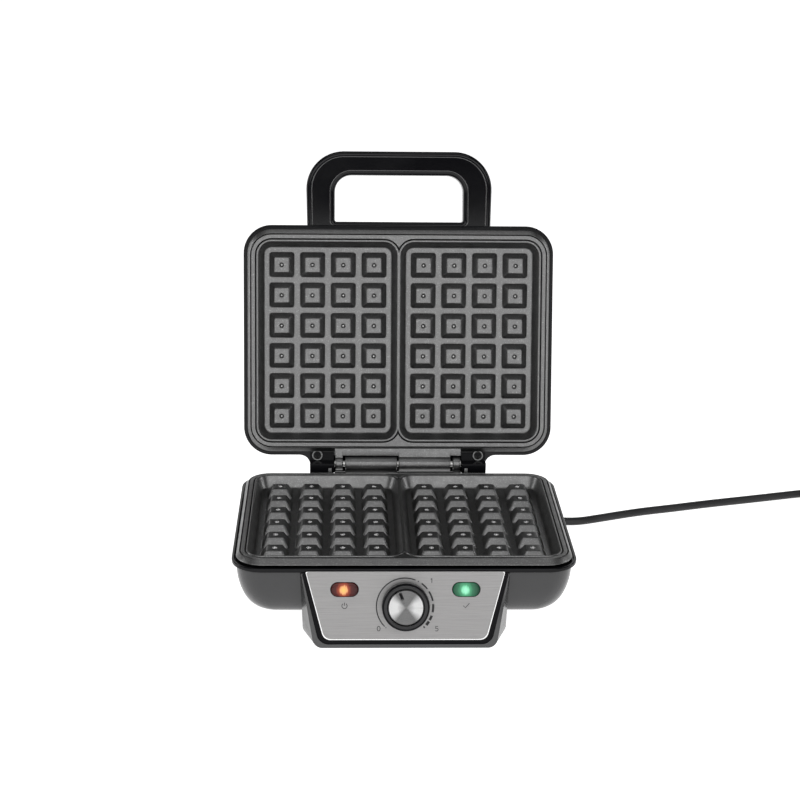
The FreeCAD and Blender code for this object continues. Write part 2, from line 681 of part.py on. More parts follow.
def hinge_arms():
    """The lid's two arms: a round knuckle about the hinge, a link and a concave fillet to the edge."""
    low = HANDLE_Z
    high = HINGE_Z + ARM_RADIUS
    arms = []
    for side in (-1, 1):
        x0, x1 = sorted((side * ARM_START, side * ARM_END))
        barrel = Part.makeCylinder(ARM_RADIUS, x1 - x0, V(x0, HINGE_Y, HINGE_Z), ON_X)
        link = box(x0, x1, REAR_Y - ARM_ROOT, HINGE_Y, low, high)
        outer = side * (ARM_END + ARM_FILLET)
        f0, f1 = sorted((side * ARM_END, outer))
        corner = box(f0, f1, REAR_Y - ARM_ROOT, REAR_Y + ARM_FILLET, low, high)
        round_cut = Part.makeCylinder(ARM_FILLET, high - low, V(outer, REAR_Y + ARM_FILLET, low))
        boss_at = V(side * ARM_BOSS_X, REAR_Y - ARM_BOSS_BEHIND, low - ARM_BOSS_HEIGHT)
        boss = Part.makeCylinder(ARM_BOSS_RADIUS, ARM_BOSS_HEIGHT, boss_at)
        clear = prism(PLATE_HALF_X + ARM_CLEAR, PLATE_HALF_Y + ARM_CLEAR, PLATE_CORNER + ARM_CLEAR,
                      low - ARM_BOSS_HEIGHT, low)
        arms.append(barrel.multiFuse([link, corner.cut(round_cut), boss.cut(clear)]))
    return arms + [hinge_hood(low, high)]


def hinge_hood(low, high):
    """The cover between the arms: a wall on the lid's edge, a roof, and a curve down behind the hinge."""
    half = ARM_START + TOUCH
    wall = box(-half, half, REAR_Y - HOOD_ROOT, REAR_Y, low, high)
    roof = box(-half, half, REAR_Y - HOOD_WALL, HINGE_Y, high - HOOD_WALL, high)
    section = Part.Face(Part.makePolygon([
        V(-half, HINGE_Y, high), V(half, HINGE_Y, high), V(half, HINGE_Y, high - HOOD_WALL),
        V(-half, HINGE_Y, high - HOOD_WALL), V(-half, HINGE_Y, high)]))
    curve = section.revolve(V(0, HINGE_Y, HINGE_Z), ON_X * -1, HOOD_TURN)
    return wall.multiFuse([roof, curve])


def arm_screws(radius, depth):
    """Round forms in the arms' bosses, from the bottom of each screw's recess outwards."""
    at = [V(x, REAR_Y - ARM_BOSS_BEHIND, HANDLE_Z + ARM_SCREW_DEPTH) for x in (-ARM_BOSS_X, ARM_BOSS_X)]
    return [Part.makeCylinder(radius, depth, point, ON_Z * -1) for point in at]


def lid_screws():
    """The two screws that show in the hinge arms' bosses."""
    return Part.makeCompound([opened(screw) for screw in arm_screws(ARM_SCREW_RADIUS - TOUCH, ARM_SCREW_HEAD)])


def lid_frame():
    frame = mirrored(frame_ring()).multiFuse(hinge_arms())
    return opened(frame.cut(arm_screws(ARM_SCREW_RADIUS, ARM_SCREW_DEPTH + ARM_BOSS_HEIGHT)))


def lid_shell():
    shell = bowl(LID_BOWL_HEIGHT, 0).cut(bowl(LID_BOWL_HEIGHT, HOUSING_WALL))
    roof = FRAME_Z - LID_BOWL_HEIGHT
    bosses = on_legs(lambda at: Part.makeCylinder(BOSS_RADIUS, BOSS_TOP_Z - roof, at + ON_Z * roof))
    closed = mirrored(shell.multiFuse(bosses))
    return opened(closed.cut(hinge_arms() + [handle_half(0), handle_half(1)]))


# Handle

def handle_loop(inset, z):
    """The handle's outer outline, moved inwards by inset: two legs that widen to a bar with round corners."""
    end = FRONT_Y - HANDLE_REACH + inset
    inside = FRONT_Y + 2 * HANDLE_ROUND
    root, half = HANDLE_HALF - HANDLE_TAPER - inset, HANDLE_HALF - inset
    points = [(-root, inside), (root, inside), (half, end), (-half, end)]
    corner = HANDLE_CORNER - inset
    return rounded_path([V(x, y, z) for x, y in points], [0, 0, corner, corner], closed=True)


def handle_window(grow, z):
    """The finger opening's outline, moved outwards by grow."""
    side = HANDLE_HALF - HANDLE_LEG + grow
    root, top = FRONT_Y - HANDLE_SILL + grow, FRONT_Y - HANDLE_REACH + HANDLE_BAR - grow
    points = [(-side, root), (side, root), (side, top), (-side, top)]
    radii = [WINDOW_ROOT_CORNER + grow] * 2 + [WINDOW_CORNER + grow] * 2
    return rounded_path([V(x, y, z) for x, y in points], radii, closed=True)


def trim_grooves():
    """Two fine grooves in the face towards the plates, one along each edge of the loop."""
    def raised(path):
        return Part.Face(path).extrude(ON_Z * TRIM_DEPTH)
    outer = raised(handle_loop(TRIM_OUTER, HANDLE_Z)).cut(
        raised(handle_loop(TRIM_OUTER + TRIM_WIDTH, HANDLE_Z)))
    inner = raised(handle_window(TRIM_INNER + TRIM_WIDTH, HANDLE_Z)).cut(
        raised(handle_window(TRIM_INNER, HANDLE_Z)))
    return [outer, inner]


def handle_half(half):
    """Half of the loop handle: 0 faces the plates, 1 is the far side. The seam runs round the middle."""
    low = HANDLE_Z + half * HANDLE_THICK / 2
    up = ON_Z * (HANDLE_THICK / 2)
    ring = Part.Face(handle_loop(0, low)).extrude(up).cut(Part.Face(handle_window(0, low)).extrude(up))
    rims = edges_at(ring, low + half * HANDLE_THICK / 2)
    ring = ring.makeFillet(HANDLE_ROUND, [e for e in rims if e.BoundBox.YMin < FRONT_Y])
    if half == 0:
        ring = ring.cut(trim_grooves())
    inside = FRONT_Y + 2 * HANDLE_ROUND
    ring = ring.cut(box(-HANDLE_HALF, HANDLE_HALF, FRONT_Y, inside, HANDLE_Z, HANDLE_Z + HANDLE_THICK))
    tongue_low = max(low, HANDLE_Z + TONGUE_LOW)
    tongue_high = min(low + HANDLE_THICK / 2, HANDLE_Z + HANDLE_THICK - TONGUE_HIGH)
    reach = HANDLE_HALF - TONGUE_IN
    return ring.fuse(box(-reach, reach, FRONT_Y, FRONT_Y + TONGUE_DEPTH, tongue_low, tongue_high))


# Control panel, in panel coordinates: right, up the slope, out of the fascia

def trapezium(top_half, low_half, top_s, low_s, radii, out):
    corners = [(-top_half, -top_s), (top_half, -top_s), (low_half, -low_s), (-low_half, -low_s)]
    return rounded_path([V(x, y, out) for x, y in corners], radii, closed=True)


def stadium(x, length, height, out_low, out_high):
    half, tall = length / 2, height / 2
    corners = [(-half, -tall), (half, -tall), (half, tall), (-half, tall)]
    path = rounded_path([V(x + px, py - LENS_S, out_low) for px, py in corners], [tall] * 4, closed=True)
    return Part.Face(path).extrude(ON_Z * (out_high - out_low))


def knob_axis(out):
    return V(0, -KNOB_S, out)


def panel_holes():
    """The openings for the two lenses and the thermostat's bush, through fascia, bezel and housing."""
    low = LENS_BACK - 1
    gap = 2 * FIT_GAP
    holes = [stadium(x, LENS_LENGTH + gap, LENS_HEIGHT + gap, low, 1) for x in (-LENS_X, LENS_X)]
    holes.append(Part.makeCylinder(BUSH_RADIUS + FIT_GAP, 1 - low, knob_axis(low)))
    return [on_panel(hole) for hole in holes]


def fascia_face(grow, out):
    radii = [FASCIA_TOP_CORNER] * 2 + [FASCIA_CORNER] * 2
    return Part.Face(trapezium(FASCIA_TOP_HALF + grow, FASCIA_LOW_HALF + grow, FASCIA_TOP_S - grow,
                               FASCIA_LOW_S + grow, radii, out))


def steel_fascia():
    return on_panel(fascia_face(0, -FASCIA_THICK).extrude(ON_Z * FASCIA_THICK)).cut(panel_holes())


def bezel_face(grow):
    radii = [FASCIA_TOP_CORNER] * 2 + [BEZEL_CORNER] * 2
    return Part.Face(trapezium(BEZEL_TOP_HALF + grow, BEZEL_LOW_HALF + grow, BEZEL_TOP_S - grow,
                               BEZEL_LOW_S + grow, radii, -BEZEL_THICK))


def control_bezel():
    """The black tray that frames the fascia."""
    tray = bezel_face(0).extrude(ON_Z * BEZEL_THICK)
    tray = tray.makeFillet(BEZEL_ROUND, edges_at(tray, 0))
    pocket = fascia_face(FIT_GAP, -FASCIA_THICK).extrude(ON_Z * FASCIA_THICK)
    return on_panel(tray.cut(pocket)).cut(panel_holes())


def lens(x):
    front = stadium(x, LENS_LENGTH, LENS_HEIGHT, LENS_BACK, LENS_PROUD)
    rim = edges_at(front, LENS_PROUD)
    grow = 2 * LENS_FLANGE
    flange = stadium(x, LENS_LENGTH + grow, LENS_HEIGHT + grow, LENS_BACK - LENS_FLANGE_THICK, LENS_BACK)
    return on_panel(front.makeFillet(LENS_ROUND, rim).fuse(flange))


def lamp(x):
    out = LENS_BACK - LENS_FLANGE_THICK - TOUCH - LAMP_RADIUS
    tube = Part.makeCylinder(LAMP_RADIUS, LAMP_LENGTH, V(x - LAMP_LENGTH / 2, -LENS_S, out), ON_X)
    return on_panel(tube)


def thermostat():
    """The switch body behind the panel, with the threaded bush that comes through it."""
    half = THERMOSTAT_HALF
    back = LENS_BACK - THERMOSTAT_DEPTH
    body = box(-half, half, -KNOB_S - half, -KNOB_S + half, back, LENS_BACK)
    bush = Part.makeCylinder(BUSH_RADIUS, BUSH_PROUD - LENS_BACK, knob_axis(LENS_BACK))
    low = LENS_BACK - SHAFT_DEPTH - TOUCH
    bore = Part.makeCylinder(SHAFT_RADIUS + SHAFT_CLEARANCE, BUSH_PROUD - low, knob_axis(low))
    return on_panel(body.fuse(bush).cut(bore))


def thermostat_nut():
    points = [V(NUT_RADIUS * math.cos(math.pi / 3 * i), NUT_RADIUS * math.sin(math.pi / 3 * i) - KNOB_S, 0)
              for i in range(6)]
    nut = Part.Face(Part.makePolygon(points + points[:1])).extrude(ON_Z * NUT_HEIGHT)
    return on_panel(nut.cut(Part.makeCylinder(BUSH_RADIUS, NUT_HEIGHT, knob_axis(0))))


def knob_skirt():
    low, high = KNOB_FLOAT, KNOB_FLOAT + KNOB_HEIGHT
    seat = high - CAP_SEAT
    ceiling = low + KNOB_HOLLOW_DEPTH
    profile = [(SHAFT_RADIUS, ceiling), (KNOB_HOLLOW_RADIUS, ceiling), (KNOB_HOLLOW_RADIUS, low),
               (KNOB_RADIUS, low), (KNOB_RADIUS, low + KNOB_FOOT), (KNOB_TOP_RADIUS, high - KNOB_CHAMFER),
               (KNOB_TOP_RADIUS - KNOB_CHAMFER, high), (CAP_RADIUS + FIT_GAP, high),
               (CAP_RADIUS + FIT_GAP, seat), (SHAFT_RADIUS, seat)]
    return on_panel(revolved(profile, knob_axis(0), ON_Z, ON_X))


def knob_cap():
    seat = KNOB_FLOAT + KNOB_HEIGHT - CAP_SEAT
    disc = Part.makeCylinder(CAP_RADIUS, CAP_THICK, knob_axis(seat))
    half = POINTER_WIDTH / 2
    start = POINTER_RADIUS - POINTER_LENGTH / 2
    top = seat + CAP_THICK
    groove = box(-half, half, start - KNOB_S, start + POINTER_LENGTH - KNOB_S, top - POINTER_DEPTH, top)
    groove.rotate(knob_axis(0), ON_Z, POINTER_ANGLE)
    return on_panel(disc.cut(groove))


def thermostat_shaft():
    low = LENS_BACK - SHAFT_DEPTH
    high = KNOB_FLOAT + KNOB_HEIGHT - CAP_SEAT
    return on_panel(Part.makeCylinder(SHAFT_RADIUS, high - low, knob_axis(low)))


# Inner parts of the base

def base_screws():
    head_top = FRAME_Z - BASE_BOWL_HEIGHT + HEAD_POCKET_DEPTH
    screws = []
    for at in on_legs(lambda at: at):
        head = Part.makeCylinder(HEAD_RADIUS, HEAD_HEIGHT, at + ON_Z * (head_top - HEAD_HEIGHT))
        length = BOSS_TOP_Z + SCREW_BITE - head_top
        screws.append(head.fuse(Part.makeCylinder(SCREW_RADIUS, length, at + ON_Z * head_top)))
    return Part.makeCompound(screws)


def front_pads(grow):
    """The pads under the control housing, partly sunk into its floor."""
    y = FRONT_Y + FRONT_PAD_BACK - FRONT_PAD_RADIUS
    return [Part.makeCylinder(FRONT_PAD_RADIUS + grow, PAD_HEIGHT + PAD_SINK, V(x, y, 0))
            for x in (-FRONT_PAD_X, FRONT_PAD_X)]


def rubber_feet():
    feet = front_pads(0)
    for x in (-REAR_FOOT_X, REAR_FOOT_X):
        rear = V(x, PLATE_Y + REAR_FOOT_BEHIND, 0)
        feet.append(Part.makeCylinder(REAR_FOOT_RADIUS, REAR_FOOT_HEIGHT, rear))
    return Part.makeCompound(feet)


def terminal_block():
    y = PLATE_Y + BLOCK_BEHIND
    return box(-BLOCK_HALF_X, BLOCK_HALF_X, y - BLOCK_HALF_Y, y + BLOCK_HALF_Y,
               BASE_FLOOR_Z, BASE_FLOOR_Z + BLOCK_TALL)


def thermal_fuse():
    z = SHIELD_Z - SHIELD_THICK - TOUCH - FUSE_RADIUS
    return Part.makeCylinder(FUSE_RADIUS, FUSE_LENGTH, V(FUSE_X, PLATE_Y, z), ON_X)


def wire(points, radius, bend):
    radii = [0] + [bend] * (len(points) - 2) + [0]
    return pipe(rounded_path(points, radii), radius)


def base_wiring():
    """Leads from the terminal block to the element, the thermostat and the lamps, and the cord's inner end."""
    z = BASE_FLOOR_Z + WIRE_RISE
    back = PLATE_Y + BLOCK_BEHIND + BLOCK_HALF_Y + TOUCH
    front = PLATE_Y + BLOCK_BEHIND - BLOCK_HALF_Y - TOUCH
    leads = []
    for side in (-1, 1):
        x = side * TERMINAL_X
        leads.append(wire([V(x, TERMINAL_Y, TERMINAL_Z - TOUCH), V(x, TERMINAL_Y, z),
                           V(side * WIRE_SPREAD, (TERMINAL_Y + back) / 2, z), V(side * WIRE_SPREAD, back, z)],
                          WIRE_RADIUS, WIRE_BEND))
        lamp_out = LENS_BACK - LENS_FLANGE_THICK - 2 * (TOUCH + LAMP_RADIUS)
        lamp_at = PANEL.multVec(V(side * LENS_X, -LENS_S, lamp_out))
        lamp_stub = PANEL.multVec(V(side * LENS_X, -LENS_S, lamp_out - WIRE_STUB))
        leads.append(wire([lamp_at, lamp_stub, V(side * LENS_X, lamp_stub.y + LENS_HEIGHT, z),
                           V(side * WIRE_SPREAD, front - LENS_LENGTH, z), V(side * WIRE_SPREAD, front, z)],
                          WIRE_RADIUS, WIRE_BEND))
    switch_at = PANEL.multVec(knob_axis(LENS_BACK - THERMOSTAT_DEPTH - TOUCH))
    switch_stub = PANEL.multVec(knob_axis(LENS_BACK - THERMOSTAT_DEPTH - TOUCH - WIRE_STUB))
    leads.append(wire([V(0, front, z), V(0, (front + switch_at.y) / 2, z + WIRE_BEND), switch_stub, switch_at],
                      WIRE_RADIUS, WIRE_BEND))
    gland_back = gland_face_y() - GLAND_PAD_THICK - RELIEF_FLANGE_THICK - TOUCH
    rise = BASE_FLOOR_Z + BLOCK_TALL / 2
    leads.append(wire([V(GLAND_X, gland_back, GLAND_Z), V(GLAND_X, gland_back - 2 * LEAD_BEND, GLAND_Z),
                       V(0, back + LEAD_BEND, rise), V(0, back, rise)], CORD_RADIUS, LEAD_BEND))
    return Part.makeCompound(leads)


def lid_wiring():
    """The two leads of the upper element, from its ends to the left hinge arm's root."""
    low = TERMINAL_Z - TOUCH - WIRE_BEND
    elbow = V(-ARM_START - ARM_RADIUS, TERMINAL_Y + LID_LEAD_BEHIND, low)
    rise = V(0, LID_LEAD_RISE, LID_LEAD_RISE)
    leads = []
    for side in (-1, 1):
        start = V(side * TERMINAL_X, TERMINAL_Y, TERMINAL_Z - TOUCH)
        turn = V(side * TERMINAL_X, TERMINAL_Y, low)
        spread = V(side * 2 * WIRE_RADIUS, 0, 0)
        leads.append(wire([start, turn, elbow + spread, elbow + spread + rise], WIRE_RADIUS, WIRE_RADIUS))
    return Part.makeCompound([opened(mirrored(lead)) for lead in leads])


# Cord

def strain_relief():
    """A moulded bush in the rear wall: flanges on both sides and a tapered tail with ring grooves."""
    face = gland_face_y()
    tip = CORD_POINTS[0][1]
    inner = face - GLAND_PAD_THICK
    start = face + RELIEF_FLANGE_THICK
    profile = [(0, inner - RELIEF_FLANGE_THICK), (RELIEF_INNER_FLANGE, inner - RELIEF_FLANGE_THICK),
               (RELIEF_INNER_FLANGE, inner), (RELIEF_NECK, inner), (RELIEF_NECK, face), (RELIEF_FLANGE, face),
               (RELIEF_FLANGE, start)]
    step = (tip - start) / (RELIEF_GROOVES + 1)
    for i in range(1, RELIEF_GROOVES + 1):
        centre = start + step * i
        radius = RELIEF_NECK + (RELIEF_TIP - RELIEF_NECK) * i / (RELIEF_GROOVES + 1)
        half = RELIEF_GROOVE_WIDTH / 2
        profile += [(radius, centre - half), (radius - RELIEF_GROOVE_DEPTH, centre - half),
                    (radius - RELIEF_GROOVE_DEPTH, centre + half), (radius, centre + half)]
    profile.insert(7, (RELIEF_NECK, start))
    profile += [(RELIEF_TIP, tip), (0, tip)]
    return revolved(profile, V(GLAND_X, 0, GLAND_Z), ON_Y, ON_X)


def mains_cord():
    """The free stretch of the cord, from the strain relief to the coil."""
    points = [V(*p) for p in CORD_POINTS]
    radii = [0]
    for before, at, after in zip(points, points[1:], points[2:]):
        shorter = min((at - before).Length, (after - at).Length)
        radii.append(CORD_ROUNDING * shorter / math.tan(turn_at(before, at, after) / 2))
    path = rounded_path(points, radii + [0])
    tube = pipe(path, CORD_RADIUS)
    section = math.pi * CORD_RADIUS ** 2
    print("cord radii", [round(r) for r in radii[1:]])
    print("cord length", round(path.Length, 1), "volume over section", round(tube.Volume / section, 1))
    return tube, path.Length


def coil_point(turn):
    """A point of the coil: it spirals in on the lower layer, climbs, and spirals out on the upper one."""
    climb_end = COIL_IN_TURNS + COIL_CLIMB_TURNS
    inner = COIL_RADIUS - COIL_PITCH * COIL_IN_TURNS
    if turn < COIL_IN_TURNS:
        radius = COIL_RADIUS - COIL_PITCH * turn
    else:
        radius = inner + COIL_PITCH * max(0, turn - climb_end)
    rise = min(1, max(0, (turn - COIL_IN_TURNS) / COIL_CLIMB_TURNS))
    start, away = coil_start()
    centre = start + V(away.y, -away.x, 0) * COIL_RADIUS
    angle = math.atan2(away.y, away.x) + math.pi / 2 - 2 * math.pi * turn
    lift = COIL_LAYER * rise * rise * (3 - 2 * rise)
    return centre + V(radius * math.cos(angle), radius * math.sin(angle), lift)


def coil_start():
    """Where the cord meets the coil, and which way it goes there."""
    before, end = V(*CORD_POINTS[-2]), V(*CORD_POINTS[-1])
    away = (end - before).normalize()
    return end + away * (2 * CORD_RADIUS), away


def coil_tangent(turn):
    step = 1e-3
    return (coil_point(turn + step) - coil_point(turn - step)).normalize()


def biarc(start, start_way, end, end_way):
    """Two tangent arcs from one point and direction to another."""
    gap = end - start
    ways = start_way + end_way
    spread = 2 * (1 - start_way.dot(end_way))
    along = gap.dot(ways)
    if spread < 1e-9:
        reach = gap.dot(gap) / (4 * gap.dot(end_way))
    else:
        reach = (math.sqrt(along * along + spread * gap.dot(gap)) - along) / spread
    first, second = start + start_way * reach, end - end_way * reach
    joint = (first + second) * 0.5
    return [tangent_arc(start, first, joint), tangent_arc(joint, second, end)]


def coil_end():
    """The coil's last point and direction, where the tail leaves for the plug."""
    last = COIL_IN_TURNS + COIL_CLIMB_TURNS + COIL_OUT_TURNS
    way = coil_tangent(last)
    return last, coil_point(last), V(way.x, way.y, 0).normalize()


def plug_start():
    """Where the cord enters the plug's tail: one straight diameter past the tail's rise."""
    _, end, way = coil_end()
    return V(end.x, end.y, PLUG_AXIS_Z) + way * (COIL_TAIL_RUN + 2 * CORD_RADIUS)


def cord_coil():
    """The put-away length, wound as one unbroken tube, with the short tail that rises to the plug."""
    start, away = coil_start()
    last, end, way = coil_end()
    edges = [line(start - away * (2 * CORD_RADIUS), start)]
    quarters = math.ceil(last * 4)
    knots = [last * i / quarters for i in range(quarters + 1)]
    ways = [away] + [coil_tangent(t) for t in knots[1:-1]] + [way]
    for i in range(quarters):
        edges += biarc(coil_point(knots[i]), ways[i], coil_point(knots[i + 1]), ways[i + 1])
    tail = V(end.x, end.y, PLUG_AXIS_Z) + way * COIL_TAIL_RUN
    edges += biarc(end, way, tail, way)
    edges.append(line(tail, plug_start()))
    path = Part.Wire(edges)
    coil = pipe(path, CORD_RADIUS)
    samples = path.discretize(Distance=2.0)
    apart = 20
    gap = min((a - b).Length for i, a in enumerate(samples) for b in samples[i + apart:]) - 2 * CORD_RADIUS
    section = math.pi * CORD_RADIUS ** 2
    print("coil length", round(path.Length, 1), "volume over section", round(coil.Volume / section, 1))
    print("coil least gap to itself", round(gap, 2))
    return coil, path.Length


def coil_tie():
    """A flat band round the turns at one place of the coil."""
    lower, upper = coil_point(TIE_TURN), coil_point(TIE_TURN + 1)
    start, away = coil_start()
    centre = start + V(away.y, -away.x, 0) * COIL_RADIUS
    out = V(lower.x - centre.x, lower.y - centre.y, 0).normalize()
    along = V(-out.y, out.x, 0)
    radii = [(p - centre).dot(out) for p in (lower, upper)]
    near = min(radii) - CORD_RADIUS - TIE_SIDE_GAP
    far = max(radii) + CORD_RADIUS + TIE_SIDE_GAP
    low = lower.z - CORD_RADIUS - TIE_GAP
    high = upper.z + CORD_RADIUS + TIE_GAP
    bands = []
    for grow in (TIE_THICK, 0):
        corners = [(near - grow, low - grow), (far + grow, low - grow), (far + grow, high + grow),
                   (near - grow, high + grow)]
        foot = V(centre.x, centre.y, 0) - along * (TIE_WIDTH / 2)
        path = rounded_path([foot + out * r + ON_Z * z for r, z in corners], [CORD_RADIUS + grow] * 4, closed=True)
        bands.append(Part.Face(path).extrude(along * TIE_WIDTH))
    return bands[0].cut(bands[1])


def plug_axes():
    """The plug's start, its direction and the level direction across it."""
    _, _, way = coil_end()
    return plug_start(), way, V(-way.y, way.x, 0)


def plug_body():
    """A moulded two-pin mains plug: tapered tail, shoulder and round head."""
    start, way, across = plug_axes()
    head = PLUG_TAIL + PLUG_SHOULDER
    end = head + PLUG_LENGTH
    chamfer = CORD_RADIUS / 2
    profile = [(0, 0), (PLUG_TAIL_RADIUS, 0), (PLUG_NECK, PLUG_TAIL), (PLUG_RADIUS - chamfer, head - chamfer),
               (PLUG_RADIUS, head + chamfer), (PLUG_RADIUS, end - chamfer), (PLUG_RADIUS - chamfer, end), (0, end)]
    body = revolved(profile, start, way, across)
    return body.cut([Part.makeCylinder(PLUG_PIN_RADIUS, PLUG_PIN_RADIUS, at, way * -1) for at in pin_feet()])


def pin_feet():
    start, way, across = plug_axes()
    face = start + way * (PLUG_TAIL + PLUG_SHOULDER + PLUG_LENGTH)
    return [face + across * (side * PLUG_PIN_SPACING / 2) for side in (-1, 1)]


def plug_pins():
    _, way, _ = plug_axes()
    root = PLUG_PIN_RADIUS
    return Part.makeCompound([Part.makeCylinder(PLUG_PIN_RADIUS, PLUG_PIN_LENGTH + root, at - way * root, way)
                              for at in pin_feet()])


def both_halves():
    return [opened(handle_half(half)) for half in (0, 1)]


cord, cord_length = mains_cord()
coil, coil_length = cord_coil()
handle_inner, handle_outer = both_halves()

PARTS = {
    "base_shell": base_shell(),
    "base_frame": frame_ring(),
    "lower_plate": lower_plate(),
    "lower_element": element(),
    "lower_shield": shield(),
    "control_housing": control_housing(),
    "control_bezel": control_bezel(),
    "steel_fascia": steel_fascia(),
    "power_lens": lens(-LENS_X),
    "ready_lens": lens(LENS_X),
    "power_lamp": lamp(-LENS_X),
    "ready_lamp": lamp(LENS_X),
    "thermostat": thermostat(),
    "thermostat_nut": thermostat_nut(),
    "thermal_fuse": thermal_fuse(),
    "terminal_block": terminal_block(),
    "base_wiring": base_wiring(),
    "base_screws": base_screws(),
    "rubber_feet": rubber_feet(),
    "hinge_pin": hinge_pin(),
    "knob_skirt": knob_skirt(),
    "knob_cap": knob_cap(),
    "thermostat_shaft": thermostat_shaft(),
    "lid_shell": lid_shell(),
    "lid_frame": lid_frame(),
    "upper_plate": upper_plate(),
    "upper_element": opened(mirrored(element())),
    "upper_shield": opened(mirrored(shield())),
    "handle_inner": handle_inner,
    "handle_outer": handle_outer,
    "lid_screws": lid_screws(),
    "lid_wiring": lid_wiring(),
    "strain_relief": strain_relief(),
    "mains_cord": cord,
    "cord_coil": coil,
    "coil_tie": coil_tie(),
    "plug_body": plug_body(),
    "plug_pins": plug_pins(),
}

for name, shape in PARTS.items():
    shape.exportStep("parts/" + name + ".step")
    print(name, len(shape.Solids), "solid(s)", round(shape.Volume), "mm3", "valid" if shape.isValid() else "INVALID")
print("hinge at", round(HINGE_Y, 3), round(HINGE_Z, 3))
print("knob at", PANEL.multVec(knob_axis(0)), "axis", PANEL.Rotation.multVec(ON_Z))
print("cord in all", round(cord_length + coil_length, 1))
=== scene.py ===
# %% [markdown]
# # A double waffle maker, dressed for its portrait
# The engineering model gives every piece its place and its size in metres. This lesson loads it as a
# fixed frame, keeps the camera where the photographer stood, and then replaces the plain solids that
# show with finely rounded surfaces worked out in numpy.

# %% Load the frame
import math

import bpy
import bmesh
import numpy as np
from mathutils import Matrix, Vector


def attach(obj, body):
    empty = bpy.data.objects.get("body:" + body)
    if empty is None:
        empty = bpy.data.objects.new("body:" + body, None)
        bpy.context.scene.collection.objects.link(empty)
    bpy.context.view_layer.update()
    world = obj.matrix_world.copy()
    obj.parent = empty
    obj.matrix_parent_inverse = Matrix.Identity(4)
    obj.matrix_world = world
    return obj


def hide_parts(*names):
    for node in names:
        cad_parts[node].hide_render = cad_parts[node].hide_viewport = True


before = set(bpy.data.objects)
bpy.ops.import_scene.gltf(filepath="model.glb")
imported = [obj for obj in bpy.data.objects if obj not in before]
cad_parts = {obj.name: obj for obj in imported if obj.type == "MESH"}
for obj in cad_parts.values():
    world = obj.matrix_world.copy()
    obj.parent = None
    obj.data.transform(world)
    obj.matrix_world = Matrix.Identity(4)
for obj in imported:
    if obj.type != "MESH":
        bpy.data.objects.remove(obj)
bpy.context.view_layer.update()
MM = 0.001


def add_object(name, data):
    """Puts data into the scene as an object."""
    made = bpy.data.objects.new(name, data)
    bpy.context.scene.collection.objects.link(made)
    return made


def settle(target, **values):
    """Sets several properties of one thing."""
    for key, value in values.items():
        setattr(target, key, value)
    return target


# %% [markdown]
# ## The camera
# The picture was taken from a little left of the middle, about 1.3 m away and looking down by 18
# degrees. The lens is long, so the plates keep their proportions. A camera looks down its own -Z axis,
# and three turns set it: a roll about its view, a tilt about X and a turn about Z.

# %% Camera
CAMERA_AT = (-0.0444, -1.2364, 0.5487)
YAW, PITCH, ROLL = math.radians(2.0), math.radians(-18.48), math.radians(0.79)
LENS, SENSOR = 79.41, 36.0


def add_camera():
    """Turn about Z by -yaw, after a tilt about X by 90 degrees + pitch, after a roll about Z."""
    data = settle(bpy.data.cameras.new("portrait_camera"), lens=LENS, sensor_width=SENSOR)
    camera = add_object("portrait_camera", settle(data, clip_start=0.05, clip_end=20.0))
    turn, tilt, roll = (Matrix.Rotation(angle, 4, axis)
                        for angle, axis in ((-YAW, "Z"), (math.pi / 2 + PITCH, "X"), (ROLL, "Z")))
    camera.matrix_world = Matrix.Translation(CAMERA_AT) @ turn @ tilt @ roll
    bpy.context.scene.camera = camera
    return -camera.matrix_world.col[2].xyz


view_forward = add_camera()
bpy.context.scene.view_settings.view_transform = "Standard"
print("camera looks along", [round(c, 3) for c in view_forward])

# %% [markdown]
# ## Sizes that the pieces share
# All numbers are millimetres of the real object, seen with the plates lying face up. The lid's pieces
# are worked out in the same way, turned over about the parting plane and then swung up on the hinge.

# %% Shared sizes
PLATE_Y, PARTING_Z, RIM_Z, PLATE_STEPS = -29.9, 57.5, 57.3, 8
PITCH_X, PITCH_Y, COLUMNS, ROWS = 24.0, 23.7, 4, 6
# Half x, half y and corner radius of one cavity, of both together, of the plate and of the lip.
CAVITY_X, CAVITY = 55.3, np.array([54.2, 77.45, 10.5])
PAIR = CAVITY + [CAVITY_X, 0, 0]
PLATE, LIP = np.array([117.9, 87.05, 18.9]), np.array([121.0, 90.15, 22.0])
FRAME_Z, LIP_TOP_Z = 49.7, 52.3
FRONT_Y, PLATE_REAR = PLATE_Y - LIP[1], PLATE_Y + PLATE[1]
HINGE_Y, HINGE_Z, OPEN_ANGLE = 66.7, 60.06, math.radians(102.8)
PANEL_TILT, PANEL_Y, PANEL_Z = math.radians(17.4), FRONT_Y - 1.35, 50.0


def swing(points, angle=OPEN_ANGLE):
    """Opens lid points: about the hinge, y becomes y cos a + z sin a, and z becomes z cos a - y sin a."""
    y, z = points[:, 1] - HINGE_Y, points[:, 2] - HINGE_Z
    c, s = math.cos(angle), math.sin(angle)
    return np.stack([points[:, 0], HINGE_Y + y * c + z * s, HINGE_Z - y * s + z * c], axis=1)


def into_lid(points):
    """Turns a face-up shape over: z becomes 2 parting - z, then it swings open about the hinge."""
    return swing(points * [1, 1, -1] + [0, 0, 2 * PARTING_Z])


def onto_panel(points):
    """From panel coordinates (right, up the slope, out) to the part's own."""
    c, s = math.cos(PANEL_TILT), math.sin(PANEL_TILT)
    x, up, out = points.T
    return np.stack([x, PANEL_Y + up * s - out * c, PANEL_Z + up * c + out * s], axis=1)


print("half sizes of both cavities:", PAIR)

# %% [markdown]
# ## Surfaces from arrays
# Every shape below is a grid of points. `side_loop` is a rounded rectangle, `skin` joins loops into a
# surface, and `grid_faces` numbers the four corners of each cell. A surface is its points and a list of
# face arrays, one for each number of corners. No loop runs over single vertices.

